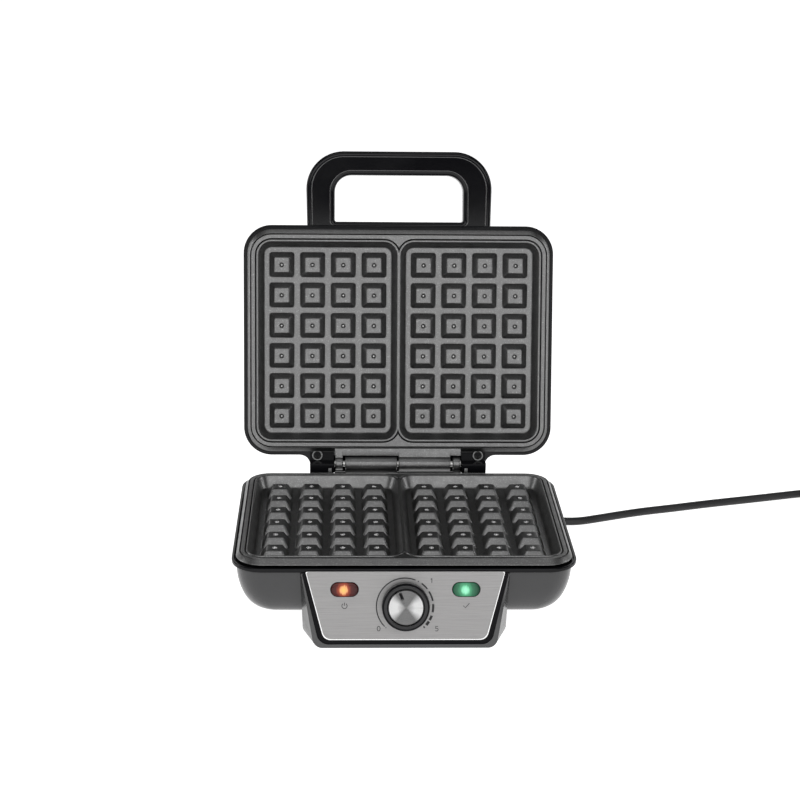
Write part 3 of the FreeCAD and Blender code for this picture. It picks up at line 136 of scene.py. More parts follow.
# %% Outlines and profiles
def grid_faces(rows, columns, wrap=True, close=False):
    """Cell (i, j) joins points (i, j), (i, j+1), (i+1, j+1), (i+1, j); wrap and close join the far ends."""
    index = np.arange(rows * columns).reshape(rows, columns)
    index = np.c_[index, index[:, :1]] if wrap else index
    index = np.r_[index, index[:1]] if close else index
    cells = np.stack([index[:-1, :-1], index[:-1, 1:], index[1:, 1:], index[1:, :-1]], axis=-1)
    return cells.reshape(-1, 4)


def side_loop(x0, x1, y0, y1, low_r, high_r, corner):
    """At angle a of each corner: corner centre + radius (cos a, sin a); low-y and high-y radii may differ."""
    x0, x1, y0, y1, low_r, high_r = (np.asarray(v, float)[..., None] for v in (x0, x1, y0, y1, low_r, high_r))
    quarter = np.linspace(0, math.pi / 2, corner + 1)
    angle = (quarter + np.arange(4)[:, None] * math.pi / 2).ravel()
    right, high = np.repeat([1, 0, 0, 1], corner + 1), np.repeat([1, 1, 0, 0], corner + 1)
    r = np.where(high, high_r, low_r)
    centre_x, centre_y = np.where(right, x1 - r, x0 + r), np.where(high, y1 - r, y0 + r)
    return centre_x + r * np.cos(angle), centre_y + r * np.sin(angle)


def grown(size, out, z):
    """An outline grown outwards, with its height, as a row for flat_loops."""
    return (*(size + out), z)


def flat_loops(sizes, corner=PLATE_STEPS, centre=(0, 0)):
    """Loops from rows of (half x, half y, corner radius, z)."""
    hx, hy, r, z = np.asarray(sizes, float).T
    x, y = side_loop(-hx, hx, -hy, hy, r, r, corner)
    return np.stack([x + centre[0], y + centre[1], np.broadcast_to(z[:, None], x.shape)], axis=-1)


def turned(profile, centre, axis=(0, 0, 1), across=(1, 0, 0), around=64):
    """A surface of revolution: at angle a, centre + radius (across cos a + side sin a) + height axis."""
    profile = np.asarray(profile, float)
    axis, across = np.asarray(axis, float), np.asarray(across, float)
    side = np.cross(axis, across)
    a = np.linspace(0, 2 * math.pi, around, endpoint=False)
    spoke = np.cos(a)[:, None] * across + np.sin(a)[:, None] * side
    return np.asarray(centre, float) + profile[:, :1, None] * spoke + profile[:, 1:, None] * axis


def rounded_profile(points, radius, steps=4, closed=False):
    """Rounds the corners of a flat polygon: each corner becomes a quadratic curve between its legs."""
    p, r = np.asarray(points, float), np.asarray(radius, float)[:, None]

    def leg_point(shift):
        """Corner + leg / length x radius, where the curve starts or ends."""
        leg = np.roll(p, shift, axis=0) - p
        length = np.linalg.norm(leg, axis=1, keepdims=True)
        return (p + leg / length * np.minimum(r, length * 0.48))[:, None]

    t = np.linspace(0, 1, steps + 1)[None, :, None]
    curve = leg_point(1) * (1 - t) ** 2 + 2 * p[:, None] * t * (1 - t) + leg_point(-1) * t ** 2
    line = (curve if closed else curve[1:-1]).reshape(-1, p.shape[1])
    return line if closed else np.concatenate([p[:1], line, p[-1:]])


def skin(rings, flip=False, close=False, caps=False, cap_end=False):
    """A surface through rings of shape (rings, points, 3); a cap is one many-sided face."""
    count, around, _ = rings.shape
    groups, ring = [grid_faces(count, around, close=close)], np.arange(around)[None]
    if caps:
        groups.append(ring[:, ::-1])
    if caps or cap_end:
        groups.append(ring + (count - 1) * around)
    return rings.reshape(-1, 3), [group[:, ::-1] if flip else group for group in groups]


print("faces of a small grid:", grid_faces(2, 3).tolist())

# %% [markdown]
# ## From surfaces to pieces
# `make_piece` joins surfaces into one object. `dress` gives an object its finish and its body, and hides the
# solids it is drawn in place of.
# `softened` takes a copy of a solid, joins its flat triangles and rounds its edges.

# %% Pieces
SEAM = 1e-6
FLAT_ANGLE = math.radians(0.6)


def rework(mesh, distance, flatten=False):
    """Merges points that coincide, then joins flat neighbours or drops the faces without area."""
    work = bmesh.new()
    work.from_mesh(mesh)
    bmesh.ops.remove_doubles(work, verts=work.verts, dist=distance)
    if flatten:
        bmesh.ops.dissolve_limit(work, angle_limit=FLAT_ANGLE, verts=work.verts, edges=work.edges)
    else:
        bmesh.ops.dissolve_degenerate(work, edges=work.edges, dist=distance)
    work.to_mesh(mesh)
    work.free()


def smooth_up_to(mesh, angle):
    """Smooth shading, but a crease where faces meet at more than the angle."""
    mesh.shade_smooth()
    mesh.set_sharp_from_angle(angle=math.radians(angle))


def make_piece(name, parts, place=np.asarray, flip=False, sharp=40.0, seams=True):
    """Joins surfaces given in millimetres into one object in metres, with smooth shading up to an angle."""
    starts = np.cumsum([0] + [len(points) for points, _ in parts])
    groups = [group + start for (_, faces), start in zip(parts, starts) for group in faces]
    faces = sum((group[:, ::-1 if flip else 1].tolist() for group in groups), [])
    placed = place(np.concatenate([points for points, _ in parts])) * MM
    mesh = bpy.data.meshes.new(name)
    mesh.from_pydata(placed.tolist(), [], faces)
    mesh.validate()
    if seams:
        rework(mesh, SEAM)
    smooth_up_to(mesh, sharp)
    return add_object(name, mesh)


def dress(piece, material, body, slot, *nodes):
    """Gives a piece its finish, hangs it on its body and hides the CAD nodes that it is drawn in place of."""
    piece.data.materials.clear()
    piece.data.materials.append(material)
    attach(piece, body)
    if nodes:
        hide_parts(*nodes)
    count = len(piece.data.polygons) if piece.type == "MESH" else "curved"
    print("made", piece.name, "with", count, "faces on", body)
    return piece


def show(name, parts, material, body, slot, *nodes, **how):
    """Makes a piece from surfaces and dresses it."""
    return dress(make_piece(name, parts, **how), material, body, slot, *nodes)


def get_points(items, key):
    """Reads one 3-vector of every vertex or face, in millimetres."""
    values = np.empty(len(items) * 3, dtype=np.float32)
    items.foreach_get(key, values)
    return values.reshape(-1, 3).astype(float) / MM


def softened(node, width, angle=32.0, reshape=None):
    """A copy of a CAD node with its flat triangles joined into whole faces and its edges rounded."""
    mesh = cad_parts[node].data.copy()
    mesh.name = node + "_soft"
    rework(mesh, 2 * SEAM, flatten=True)
    if reshape:
        moved = reshape(get_points(mesh.vertices, "co")) * MM
        mesh.vertices.foreach_set("co", moved.astype(np.float32).ravel())
    smooth_up_to(mesh, angle)
    piece = add_object(node + "_soft", mesh)
    settle(piece.modifiers.new("edge", "BEVEL"), width=width * MM, segments=2, limit_method="ANGLE",
           angle_limit=math.radians(angle), harden_normals=True, use_clamp_overlap=True)
    piece.modifiers.new("seams", "WELD").merge_threshold = 2 * SEAM
    return piece


# %% [markdown]
# ## Effects that several finishes share
# Three small shader groups are built once. `fine_grain` gives the faint unevenness of moulded plastic
# and rubber, `speckle` the tiny bright flakes of a non-stick coating, and `brush_lines` the long thin
# scratches of brushed steel. Each puts out a mask or a height that a material then uses in its own way.

# %% Shader groups
def wire(node, sockets):
    """Feeds a node's inputs: an output is linked, anything else is set on the socket."""
    for key, value in sockets.items():
        if hasattr(value, "is_output"):
            node.id_data.links.new(value, node.inputs[key])
        else:
            node.inputs[key].default_value = value


def add_node(tree, kind, sockets=None, **settings):
    node = settle(tree.nodes.new(kind), **settings)
    wire(node, sockets or {})
    return node


def math_node(tree, operation, *values):
    return add_node(tree, "ShaderNodeMath", dict(enumerate(values)), operation=operation).outputs[0]


def object_place(tree, scale, location=(0, 0, 0)):
    """The piece's own metres, scaled along each axis and then moved."""
    where = add_node(tree, "ShaderNodeTexCoord").outputs["Object"]
    sockets = {"Vector": where, "Scale": scale, "Location": location}
    return add_node(tree, "ShaderNodeMapping", sockets).outputs["Vector"]


def noise_at(tree, scale, detail, stretch=(1, 1, 1)):
    """Noise over the piece's own metres, squeezed along chosen axes."""
    sockets = {"Vector": object_place(tree, stretch), "Scale": scale, "Detail": detail}
    return add_node(tree, "ShaderNodeTexNoise", sockets).outputs[0]


def remap(tree, value, low, high, to_low=0.0, to_high=1.0):
    """Low becomes to_low, high becomes to_high, and what lies between follows a straight line."""
    sockets = {"Value": value, "From Min": low, "From Max": high, "To Min": to_low, "To Max": to_high}
    return add_node(tree, "ShaderNodeMapRange", sockets).outputs[0]


def fine_grain(group, scale):
    """Height: fine noise. Smudge: broad soft noise, for uneven gloss."""
    broad = noise_at(group, 28.0, 4.0)
    return {"Height": noise_at(group, scale, 2.0), "Smudge": remap(group, broad, 0.35, 0.68)}


def speckle(group, scale):
    """Flakes: the bright peaks of a fine noise. Mottle: a coarser unevenness. Height: the coating's skin."""
    fine, coarse = noise_at(group, scale, 2.0), noise_at(group, 160.0, 5.0)
    flakes, mottle = remap(group, fine, 0.55, 0.74), remap(group, coarse, 0.3, 0.7)
    return {"Flakes": flakes, "Mottle": mottle, "Height": fine}


def brush_lines(group, scale):
    """Lines: noise squeezed along X, so that it reads as long scratches. Height: the same, finer."""
    lines = noise_at(group, scale, 3.0, (0.018, 1.0, 1.0))
    return {"Lines": remap(group, lines, 0.3, 0.7), "Height": noise_at(group, 2600.0, 2.0, (0.02, 1.0, 1.0))}


def new_group(effect):
    """A node group with one input, Scale, and the outputs that the effect returns."""
    group = bpy.data.node_groups.new(effect.__name__, "ShaderNodeTree")
    group.interface.new_socket("Scale", in_out="INPUT", socket_type="NodeSocketFloat")
    results = effect(group, add_node(group, "NodeGroupInput").outputs["Scale"])
    for key in results:
        group.interface.new_socket(key, in_out="OUTPUT", socket_type="NodeSocketFloat")
    add_node(group, "NodeGroupOutput", results)
    return group


FINE_GRAIN, SPECKLE, BRUSH = new_group(fine_grain), new_group(speckle), new_group(brush_lines)
print("shader groups:", [group.name for group in (FINE_GRAIN, SPECKLE, BRUSH)])

# %% [markdown]
# ## The finishes
# Each material is one Principled shader. What is the same all over is set on its sockets; what varies
# comes from the groups through a colour mix, a range or a bump. Depths are in millimetres.

# %% Materials
def new_material(name, color, rough, metal=0.0):
    material = bpy.data.materials.new(name)
    material.use_nodes = True
    shader = material.node_tree.nodes["Principled BSDF"]
    wire(shader, {"Base Color": (*color, 1.0), "Roughness": rough, "Metallic": metal})
    return material, material.node_tree, shader


def use_group(tree, group, scale):
    return add_node(tree, "ShaderNodeGroup", node_tree=group, sockets={"Scale": scale}).outputs


def mix_color(tree, factor, dark, light):
    """Dark x (1 - factor) + light x factor."""
    sockets = {"Factor": factor, "A": (*dark, 1.0), "B": (*light, 1.0)}
    return add_node(tree, "ShaderNodeMix", sockets, data_type="RGBA").outputs["Result"]


def bump(tree, height, strength, depth):
    """Tilts the normal along the slope of a height."""
    sockets = {"Height": height, "Strength": strength, "Distance": depth * MM}
    return add_node(tree, "ShaderNodeBump", sockets).outputs["Normal"]


def textured(name, metal, group, scale, masks, colors, rough, strength, depth, specular=0.5):
    """Colour and roughness follow two of the group's masks, and its height gives the skin."""
    material, tree, shader = new_material(name, colors[0], rough[0], metal)
    outputs = use_group(tree, group, scale)
    wire(shader, {"Base Color": mix_color(tree, outputs[masks[0]], *colors),
                  "Roughness": remap(tree, outputs[masks[1]], 0.0, 1.0, *rough),
                  "Normal": bump(tree, outputs["Height"], strength, depth), "Specular IOR Level": specular})
    return material


def moulded(name, color, light, rough, spread, grain, depth, specular=0.5):
    """Plastic or rubber: smudges lift its colour and roughness a little, grain gives its skin."""
    return textured(name, 0.0, FINE_GRAIN, grain, ("Smudge", "Smudge"), (color, light),
                    (rough, rough + spread), 0.35, depth, specular)


def dark_moulded(name, level, light, *skin_values, tint=0.001):
    """A moulded finish of a nearly neutral dark colour, a touch bluer than grey."""
    return moulded(name, (level, level, level + tint), (light, light, light + tint), *skin_values)


def coated_metal(name, dark, light):
    """The plates' non-stick coat: dark and metallic, with pale flakes and a faint mottle."""
    colors = ((dark,) * 3, (light,) * 3)
    return textured(name, 1.0, SPECKLE, 1400.0, ("Flakes", "Mottle"), colors, (0.34, 0.44), 0.3, 0.12)


def brushed_steel(name, color, scale, rough=(0.3, 0.42), depth=0.2):
    """Steel with long scratches that are a little darker and smoother than the rest."""
    colors = (tuple(c * 0.82 for c in color), color)
    return textured(name, 1.0, BRUSH, scale, ("Lines", "Lines"), colors, rough, 0.5, depth)


GREY_SHELL = dark_moulded("grey_shell", 0.027, 0.031, 0.18, 0.06, 2600.0, 0.04, 0.5, tint=0.0015)
BLACK_GLOSS = dark_moulded("black_gloss", 0.005, 0.007, 0.1, 0.05, 1800.0, 0.01, 0.13)
BLACK_SATIN = dark_moulded("black_satin", 0.004, 0.006, 0.07, 0.04, 2200.0, 0.01, 0.16)
DULL_BLACK = dark_moulded("dull_black", 0.004, 0.006, 0.2, 0.06, 2200.0, 0.01, 0.05)
LINE_BLACK = dark_moulded("line_black", 0.006, 0.008, 0.2, 0.06, 2200.0, 0.01, 0.8)
KNOB_FACE = dark_moulded("knob_face", 0.004, 0.006, 0.16, 0.06, 2200.0, 0.01, 0.3)
CORD_BLACK = dark_moulded("cord_black", 0.016, 0.022, 0.42, 0.1, 2600.0, 0.08, 0.3)
INK = dark_moulded("panel_ink", 0.02, 0.035, 0.5, 0.15, 2400.0, 0.02, 0.2)
RUBBER = dark_moulded("foot_rubber", 0.02, 0.03, 0.7, 0.1, 1800.0, 0.1, tint=0.0)
NONSTICK = coated_metal("nonstick_coat", 0.13, 0.25)
# A lighter coat that paints the highlight inside the dimples.
PAINTED_HIGHLIGHT_COAT = coated_metal("painted_highlight_coat", 0.34, 0.5)
STEEL_PANEL = brushed_steel("brushed_panel", (0.225, 0.222, 0.221), 2200.0)
STEEL_PLAIN = brushed_steel("plain_steel", (0.5, 0.5, 0.49), 1200.0)
STEEL_DARK = brushed_steel("blackened_steel", (0.17,) * 3, 1800.0)
# A near-black steel for the screw heads: painted shade of the bores they sit in.
HEAD_PAINTED_SHADE = brushed_steel("screw_head", (0.022,) * 3, 1800.0)
# The cut edge's light steel: polished bare metal, lightened further as a painted highlight along the edge.
CUT_EDGE_HIGHLIGHT = brushed_steel("cut_edge_painted_highlight", (0.6,) * 3, 2600.0, (0.16, 0.22), 0.01)
print("finishes:", len(bpy.data.materials))

# %% [markdown]
# ## The cord
# The black mains cord leaves a strain relief in the rear wall, drops behind the base to the table and
# runs off to the right. The spare length is wound in a small coil outside the picture. Its route is a
# row of control points; a smooth NURBS curve follows them, and the coil's points come from a formula.

# %% Cord route
CORD_D = 6.4
CORD_FROM_PLATE = np.array([
    (-12, 120.3, 33), (-12, 139.3, 33), (-4, 156.3, 28.5), (10, 168.8, 20.5), (28, 174.3, 12.5),
    (47.5, 172.3, 6.3), (66, 163.8, 3.2), (82.5, 150.8, 3.2), (97, 136.8, 3.2), (112, 124.3, 3.2),
    (128.5, 116.3, 3.2), (146, 114.7, 3.2), (163, 120.9, 3.2), (182, 128.7, 3.2), (203, 136.6, 3.2),
    (229, 143.9, 3.2), (262, 154.3, 3.2), (303, 165.3, 3.2), (345, 174.8, 4.4), (378, 181.3, 4.4)])
COIL_RADIUS, COIL_PITCH, COIL_LAYER, COIL_POINTS = 40.0, 8.0, 7.2, 34
IN_TURNS, CLIMB_TURNS, OUT_TURNS = 0.9, 0.5, 0.886
PLUG_AXIS_Z, TAIL_RUN = 19.0, 34.0
TAIL_STEPS = ((0.25, 0.02), (0.5, 0.5), (0.75, 0.98), (1, 1))


def coil_points(start, away):
    """Radius falls with the turn on the lower layer, holds while it climbs, and grows on the upper one."""
    turn = np.linspace(0, IN_TURNS + CLIMB_TURNS + OUT_TURNS, COIL_POINTS)
    radius = COIL_RADIUS - COIL_PITCH * np.minimum(turn, IN_TURNS)
    radius += COIL_PITCH * np.maximum(0, turn - IN_TURNS - CLIMB_TURNS)
    rise = np.clip((turn - IN_TURNS) / CLIMB_TURNS, 0, 1)
    lift = COIL_LAYER * rise ** 2 * (3 - 2 * rise)
    angle = math.atan2(away[1], away[0]) + math.pi / 2 - 2 * math.pi * turn
    centre = start + np.array([away[1], -away[0], 0]) * COIL_RADIUS
    ring = np.stack([radius * np.cos(angle), radius * np.sin(angle), lift], axis=1)
    return centre + ring, np.array([math.sin(angle[-1]), -math.cos(angle[-1]), 0.0])


def cord_route():
    """The free stretch, the coil and the tail that rises to the plug, as control points in metres."""
    free = CORD_FROM_PLATE + [0, PLATE_Y, 0]
    away = (free[-1] - free[-2]) / np.linalg.norm(free[-1] - free[-2])
    coil, way = coil_points(free[-1] + away * CORD_D, away)
    level = np.array([0, 0, PLUG_AXIS_Z - coil[-1][2]])
    tail = [coil[-1] + way * TAIL_RUN * run + level * height for run, height in TAIL_STEPS]
    end = tail[-1] + way * CORD_D
    return np.vstack([free, coil, tail, [end]]) * MM


def add_cord(points):
    """A circle carried along a smooth curve through the control points."""
    curve = settle(bpy.data.curves.new("mains_lead", "CURVE"), dimensions="3D", bevel_depth=CORD_D / 2 * MM,
                   bevel_resolution=5, use_fill_caps=True)
    spline = curve.splines.new("NURBS")
    spline.points.add(len(points) - 1)
    spline.points.foreach_set("co", np.c_[points, np.ones(len(points))].ravel())
    settle(spline, order_u=3, use_endpoint_u=True, resolution_u=8)
    return add_object("mains_lead", curve)


cord_points = cord_route()
cord = add_cord(cord_points)
dress(cord, CORD_BLACK, "base", "cord_rubber", "mains_cord", "cord_coil")

# %% [markdown]
# ## The waffle plates
# Both plates are the same die casting: two cavities of four by six blocks, a raised lip round each
# cavity, fine grooves and a sloping shoulder. A height field would blur the thin lips, so every band is
# a set of rounded loops that share their corner centres. Where the two lips meet, the loops are held at
# the middle plane, which gives the small dip between the cavities.

# %% Plate sizes and the profile of one cavity
CAVITY_DEPTH, CAVITY_RUN, FLOOR_LAP, FLOOR_CORNER = 9.0, 4.3, 2.2, 7.0
LIP_BAND, STEP_BAND, STEP_DEPTH, PLATEAU_DROP, GROOVE_AT, BANDS = 1.3, 1.2, 1.9, 0.3, 5.2, 6.2
SKIRT_LIFT = 0.012
LOBE_REACH, LOBE_STRAIGHT = CAVITY_X - CAVITY[0] + CAVITY[2], CAVITY[1] - CAVITY[2]


def cavity_profile():
    """(distance outwards from the rim, height): floor, drafted wall, lip, step and the plateau's edge."""
    step_end, floor = LIP_BAND + STEP_BAND, -CAVITY_DEPTH + SKIRT_LIFT
    points = [(-CAVITY_RUN - FLOOR_LAP, floor), (-CAVITY_RUN, floor), (0, 0), (LIP_BAND, 0),
              (LIP_BAND + STEP_BAND * 0.5, -STEP_DEPTH), (step_end, -PLATEAU_DROP),
              (step_end + 0.3, -PLATEAU_DROP)]
    return rounded_profile(points, [0, 1.5, 0.55, 0.25, 0.1, 0.12, 0])


def lobe_outline(d):
    """The right cavity's rounded outline, grown outwards by d."""
    hx, hy, r = (size + d for size in CAVITY)
    x, y = side_loop(-hx, hx, -hy, hy, r, r, PLATE_STEPS)
    return x + CAVITY_X, y


def lobe_rings(profile):
    """Rounded loops round the right cavity, held at x = 0; there the height follows the real distance."""
    d, z = profile.T
    x, y = lobe_outline(d)
    real = np.hypot(LOBE_REACH, np.maximum(np.abs(y) - LOBE_STRAIGHT, 0)) - CAVITY[2]
    height = np.where(x < 0, np.interp(real, d, z), z[:, None])
    return np.stack([np.maximum(x, 0), y, height], axis=-1)


def plateau_strip(profile):
    """Joins the right cavity's outer loop to the pair's outline, without the stretch along the ridge."""
    d, group = profile[-1, 0], PLATE_STEPS + 1
    x, y = lobe_outline(d)
    dip = LOBE_STRAIGHT + math.sqrt((CAVITY[2] + d) ** 2 - LOBE_REACH ** 2)
    inner_x, inner_y = np.maximum(x, 0), np.where(x < 0, np.sign(y) * dip, y)
    outer_x, outer_y, level = flat_loops([grown(PAIR, GROOVE_AT, -PLATEAU_DROP)])[0].T
    middle = np.repeat([False, True, True, False], group)
    outer_x = np.where(middle, inner_x, outer_x)
    outer_y = np.where(middle, np.sign(y) * (PAIR[1] + GROOVE_AT), outer_y)
    strip = np.stack([np.stack([inner_x, inner_y, level], 1), np.stack([outer_x, outer_y, level], 1)])
    strip = np.roll(strip, -2 * group, axis=1)
    return strip.reshape(-1, 3), [grid_faces(2, strip.shape[1], wrap=False)]


def cavity_floor():
    """A flat rounded face that the blocks and the wall's skirt stand on."""
    size = np.array([*CAVITY[:2] - CAVITY_RUN + 1.0, FLOOR_CORNER])
    rows = [grown(size, 0, -CAVITY_DEPTH), grown(size * 0.5, 0, -CAVITY_DEPTH)]
    return skin(flat_loops(rows, centre=(CAVITY_X, 0)), cap_end=True)


cavity_line = cavity_profile()
print("cavity profile:", len(cavity_line), "loops, ends", cavity_line[[0, -1]].round(2).tolist())

# %% [markdown]
# ## Blocks
# One block is a pile of rounded squares from a small skirt on the floor up to a soft top edge; the
# last loops shrink into the round dimple in its top. All 48 blocks are the same array, shifted.

# %% Blocks and the plate's outer bands
BLOCK_BASE, BLOCK_TOP, BLOCK_HEIGHT, BLOCK_SKIRT = 19.2, 11.3, 7.0, 1.2
DIMPLE_RADIUS, DIMPLE_FLOOR, DIMPLE_DEPTH, DIMPLE_TIP, CUP_THICK = 1.9, 0.55, 1.9, 0.1, 0.05
SHOULDER_Z, FLANGE_EDGE, FLANGE_THICK, TRAY_Z = -3.2, 0.5, 1.6, -12.0


def block_loops():
    """(half width, corner radius, height): skirt, drafted side, top edge, flat top, dimple."""
    half, top, low = BLOCK_BASE / 2, BLOCK_TOP / 2, BLOCK_HEIGHT - DIMPLE_DEPTH
    points = [(half + BLOCK_SKIRT, 3.0, SKIRT_LIFT), (half, 1.8, SKIRT_LIFT), (top, 1.0, BLOCK_HEIGHT),
              (DIMPLE_RADIUS, DIMPLE_RADIUS, BLOCK_HEIGHT), (DIMPLE_FLOOR, DIMPLE_FLOOR, low),
              (DIMPLE_TIP, DIMPLE_TIP, low)]
    half_width, radius, z = rounded_profile(points, [0, 0.9, 0.7, 0.2, 0.1, 0], 3).T
    return flat_loops(np.stack([half_width, half_width, radius, z - CAVITY_DEPTH], 1), corner=4)


def at_blocks(part):
    """One surface, shifted to every column and row of both cavities."""
    columns = (np.arange(COLUMNS) - (COLUMNS - 1) / 2) * PITCH_X
    rows = (np.arange(ROWS) - (ROWS - 1) / 2) * PITCH_Y
    points, faces = part
    return [(points + [side * CAVITY_X + c, r, 0], faces) for side in (-1, 1) for c in columns for r in rows]


def dimple_cups(wall):
    """A painted highlight in every dimple: a lighter skin as a turned cone up to a share of its wall, just
    above the coat.
    """
    low, rise = BLOCK_HEIGHT - DIMPLE_DEPTH + 0.03, DIMPLE_DEPTH - 0.18
    brim = DIMPLE_FLOOR + wall * (DIMPLE_RADIUS - 0.15 - DIMPLE_FLOOR)
    profile = np.array([(brim, low + wall * rise), (DIMPLE_FLOOR, low), (DIMPLE_TIP, low)])
    profile = np.concatenate([profile, profile[::-1] - [0, CUP_THICK]])
    return at_blocks(skin(turned(profile, (0, 0, -CAVITY_DEPTH), around=20), close=True))


def outer_bands():
    """From the plateau's rim outwards: groove, shoulder, edge, then back under the flange to the tray."""
    points = [grown(PAIR, GROOVE_AT, -PLATEAU_DROP), grown(PAIR, (GROOVE_AT + BANDS) / 2, -STEP_DEPTH),
              grown(PAIR, BANDS, -PLATEAU_DROP - 0.05), grown(PLATE, 0, SHOULDER_Z),
              grown(PLATE, 0, SHOULDER_Z - FLANGE_EDGE), grown(PAIR, 2.5, SHOULDER_Z - FLANGE_THICK),
              grown(PAIR, -1.8, TRAY_Z), grown(PAIR, -6.0, TRAY_Z)]
    sizes = rounded_profile(points, [0, 0.1, 0.2, 1.1, 0.4, 0.5, 2.0, 0])
    return skin(flat_loops(sizes), flip=True, cap_end=True)


def mirrored_x(part):
    """x becomes -x, and each face runs the other way round."""
    points, faces = part
    return points * [-1, 1, 1], [group[:, ::-1] for group in faces]


def plate_parts():
    """Two mirrored cavities, their blocks and the bands round the pair."""
    right = [skin(lobe_rings(cavity_line), flip=True), plateau_strip(cavity_line), cavity_floor()]
    blocks = at_blocks(skin(block_loops(), cap_end=True))
    return right + [mirrored_x(part) for part in right] + blocks + [outer_bands()]


print("one plate is laid up from", len(plate_parts()), "surfaces")

# %% [markdown]
# ## Hinge knuckles
# The plates' rear edges carry long barrels and short ears that share one steel pin. A barrel is a
# turned profile with softened ends, and a flat web ties it to the plate. A thin apron runs between the
# hinge arms: the upper plate's has a raised face, the lower plate's a low rib and two upright tabs.

# %% Knuckles and small solids
BARREL_SPAN, BARREL_RADIUS, EAR_SPAN, EAR_RADIUS = (0.6, 41.4), 5.7, (-43.2, -49.2), 5.2
WEB_LOW, WEB_HIGH, WEB_ROOT = PARTING_Z - 4.4, PARTING_Z - 0.9, PLATE_REAR - 1.7
APRON_X, APRON_END, TAB_X, TAB_THICK = (-49.6, 49.6), 3.25, (-54.6, 52.0), 2.6


def round_bar(x0, x1, y, z, radius, soft=0.8):
    """A bar along X: the radius grows over the first soft millimetres and shrinks over the last."""
    profile = [(radius - soft, x0), (radius - 0.3 * soft, x0 + 0.25 * soft), (radius, x0 + soft),
               (radius, x1 - soft), (radius - 0.3 * soft, x1 - 0.25 * soft), (radius - soft, x1)]
    return skin(turned(profile, (0, y, z), (1, 0, 0), (0, 1, 0), 48), caps=True)


def soft_box(low, high, radius):
    """A box whose edges are rounded: loops shrink by the edge radius at both ends."""
    low, high = np.asarray(low, float), np.asarray(high, float)
    half, centre = (high - low) / 2, (high + low) / 2
    shrink, corner, inset = radius * np.array([(1, 0.3, 0), (0.3, 0.8, 0.3), (0, 1, 1)]).T
    rows = np.stack([half[0] - shrink, half[1] - shrink, corner], axis=1)
    rows = np.concatenate([np.c_[rows, low[2] + inset], np.c_[rows, high[2] - inset][::-1]])
    return skin(flat_loops(rows, corner=4, centre=centre[:2]), caps=True)


def rear_box(x, y, z, radius):
    """A soft box between pairs of bounds; y counts from the plate's rear edge and z from its rim."""
    low, high = np.array([x, y, z]).T + [0, PLATE_REAR, RIM_Z]
    return soft_box(low, high, radius)


def knuckles(barrel_side, hinge_z):
    """One barrel on its side and one ear on the other, with their webs; z counts face up."""
    bars, webs = [], []
    for span, radius in ((BARREL_SPAN, BARREL_RADIUS), (EAR_SPAN, EAR_RADIUS)):
        a, b = sorted(x * barrel_side for x in span)
        bars.append(round_bar(a, b, HINGE_Y, hinge_z, radius))
        webs.append(soft_box((a, WEB_ROOT, WEB_LOW), (b, HINGE_Y, WEB_HIGH), 0.5))
    return bars + webs


def on_plate(parts):
    """Moves plate-centred parts to the part's own place."""
    return [(points + [0, PLATE_Y, RIM_Z], faces) for points, faces in parts]


apron = [rear_box(APRON_X, (-1.7, APRON_END), (-4.8, -3.2), 0.4)]
raised_face = [rear_box(APRON_X, (-2.6, APRON_END), (-3.4, -0.8), 0.3)]
low_rib = [rear_box(APRON_X, (2.05, APRON_END), (-3.4, -0.9), 0.3)]
tabs = [rear_box((x, x + TAB_THICK), (-1.0, 0.0), (-4.8, 2.7), 0.2) for x in TAB_X]
lower_parts = on_plate(plate_parts()) + knuckles(-1, HINGE_Z) + apron + low_rib + tabs
show("waffle_plate_lower", lower_parts, NONSTICK, "base", "coated_plate", "lower_plate", sharp=50)
# The lighter cups paint a highlight over the whole cone of each dimple in the base.
show("dimple_cups_lower", on_plate(dimple_cups(1.0)), PAINTED_HIGHLIGHT_COAT, "base", "coated_plate")
upper_parts = on_plate(plate_parts()) + knuckles(1, 2 * PARTING_Z - HINGE_Z) + apron + raised_face
turned_over = {"place": into_lid, "flip": True}
show("waffle_plate_upper", upper_parts, NONSTICK, "lid", "coated_plate", "upper_plate", sharp=50,
     **turned_over)
# In the lid the painted highlight covers only each dimple's floor.
show("dimple_cups_upper", on_plate(dimple_cups(0.1)), PAINTED_HIGHLIGHT_COAT, "lid", "coated_plate", **turned_over)

# %% [markdown]
# ## Frames
# A black moulded lip rings each plate. The base's is one closed cross-section carried round a rounded
# rectangle. The lid's frame also has the two arms and the hood that hold and hide the hinge, so it keeps
# the solid's own form with softened edges.

# %% Frames and hinge arms
LIP_THICK, FLANGE_OUT, FRAME_FLOOR = 2.1, 3.5, FRAME_Z + 1.5
ARM_X, ARM_Y, CUT_X, CUT_Y, CUT_Z, CUT_FACE_Z = (49.0, 71.0), 57.0, 50.0, 65.6, 61.2, 62.6


def frame_ring():
    """A closed section: outer wall, soft top edge, inner wall, flange; carried round the outline."""
    points = [grown(LIP, 0, FRAME_Z), grown(LIP, 0, LIP_TOP_Z), grown(LIP, -LIP_THICK, LIP_TOP_Z),
              grown(LIP, -LIP_THICK, FRAME_FLOOR), grown(PAIR, FLANGE_OUT, FRAME_FLOOR),
              grown(PAIR, FLANGE_OUT, FRAME_Z)]
    sizes = rounded_profile(points, [0.3, 0.9, 0.5, 0.4, 0.2, 0.2], closed=True)
    return skin(flat_loops(sizes, corner=14, centre=(0, PLATE_Y)), close=True)


def flat_arms(points):
    """Takes the front upper quarter off the arms' barrels: there z is held at the lid's face."""
    closed = swing(points, -OPEN_ANGLE)
    x, y, z = closed.T
    quarter = (np.abs(x) > CUT_X) & (y > ARM_Y) & (y < CUT_Y) & (z < CUT_Z)
    closed[:, 2] = np.where(quarter, CUT_FACE_Z, z)
    return swing(closed)


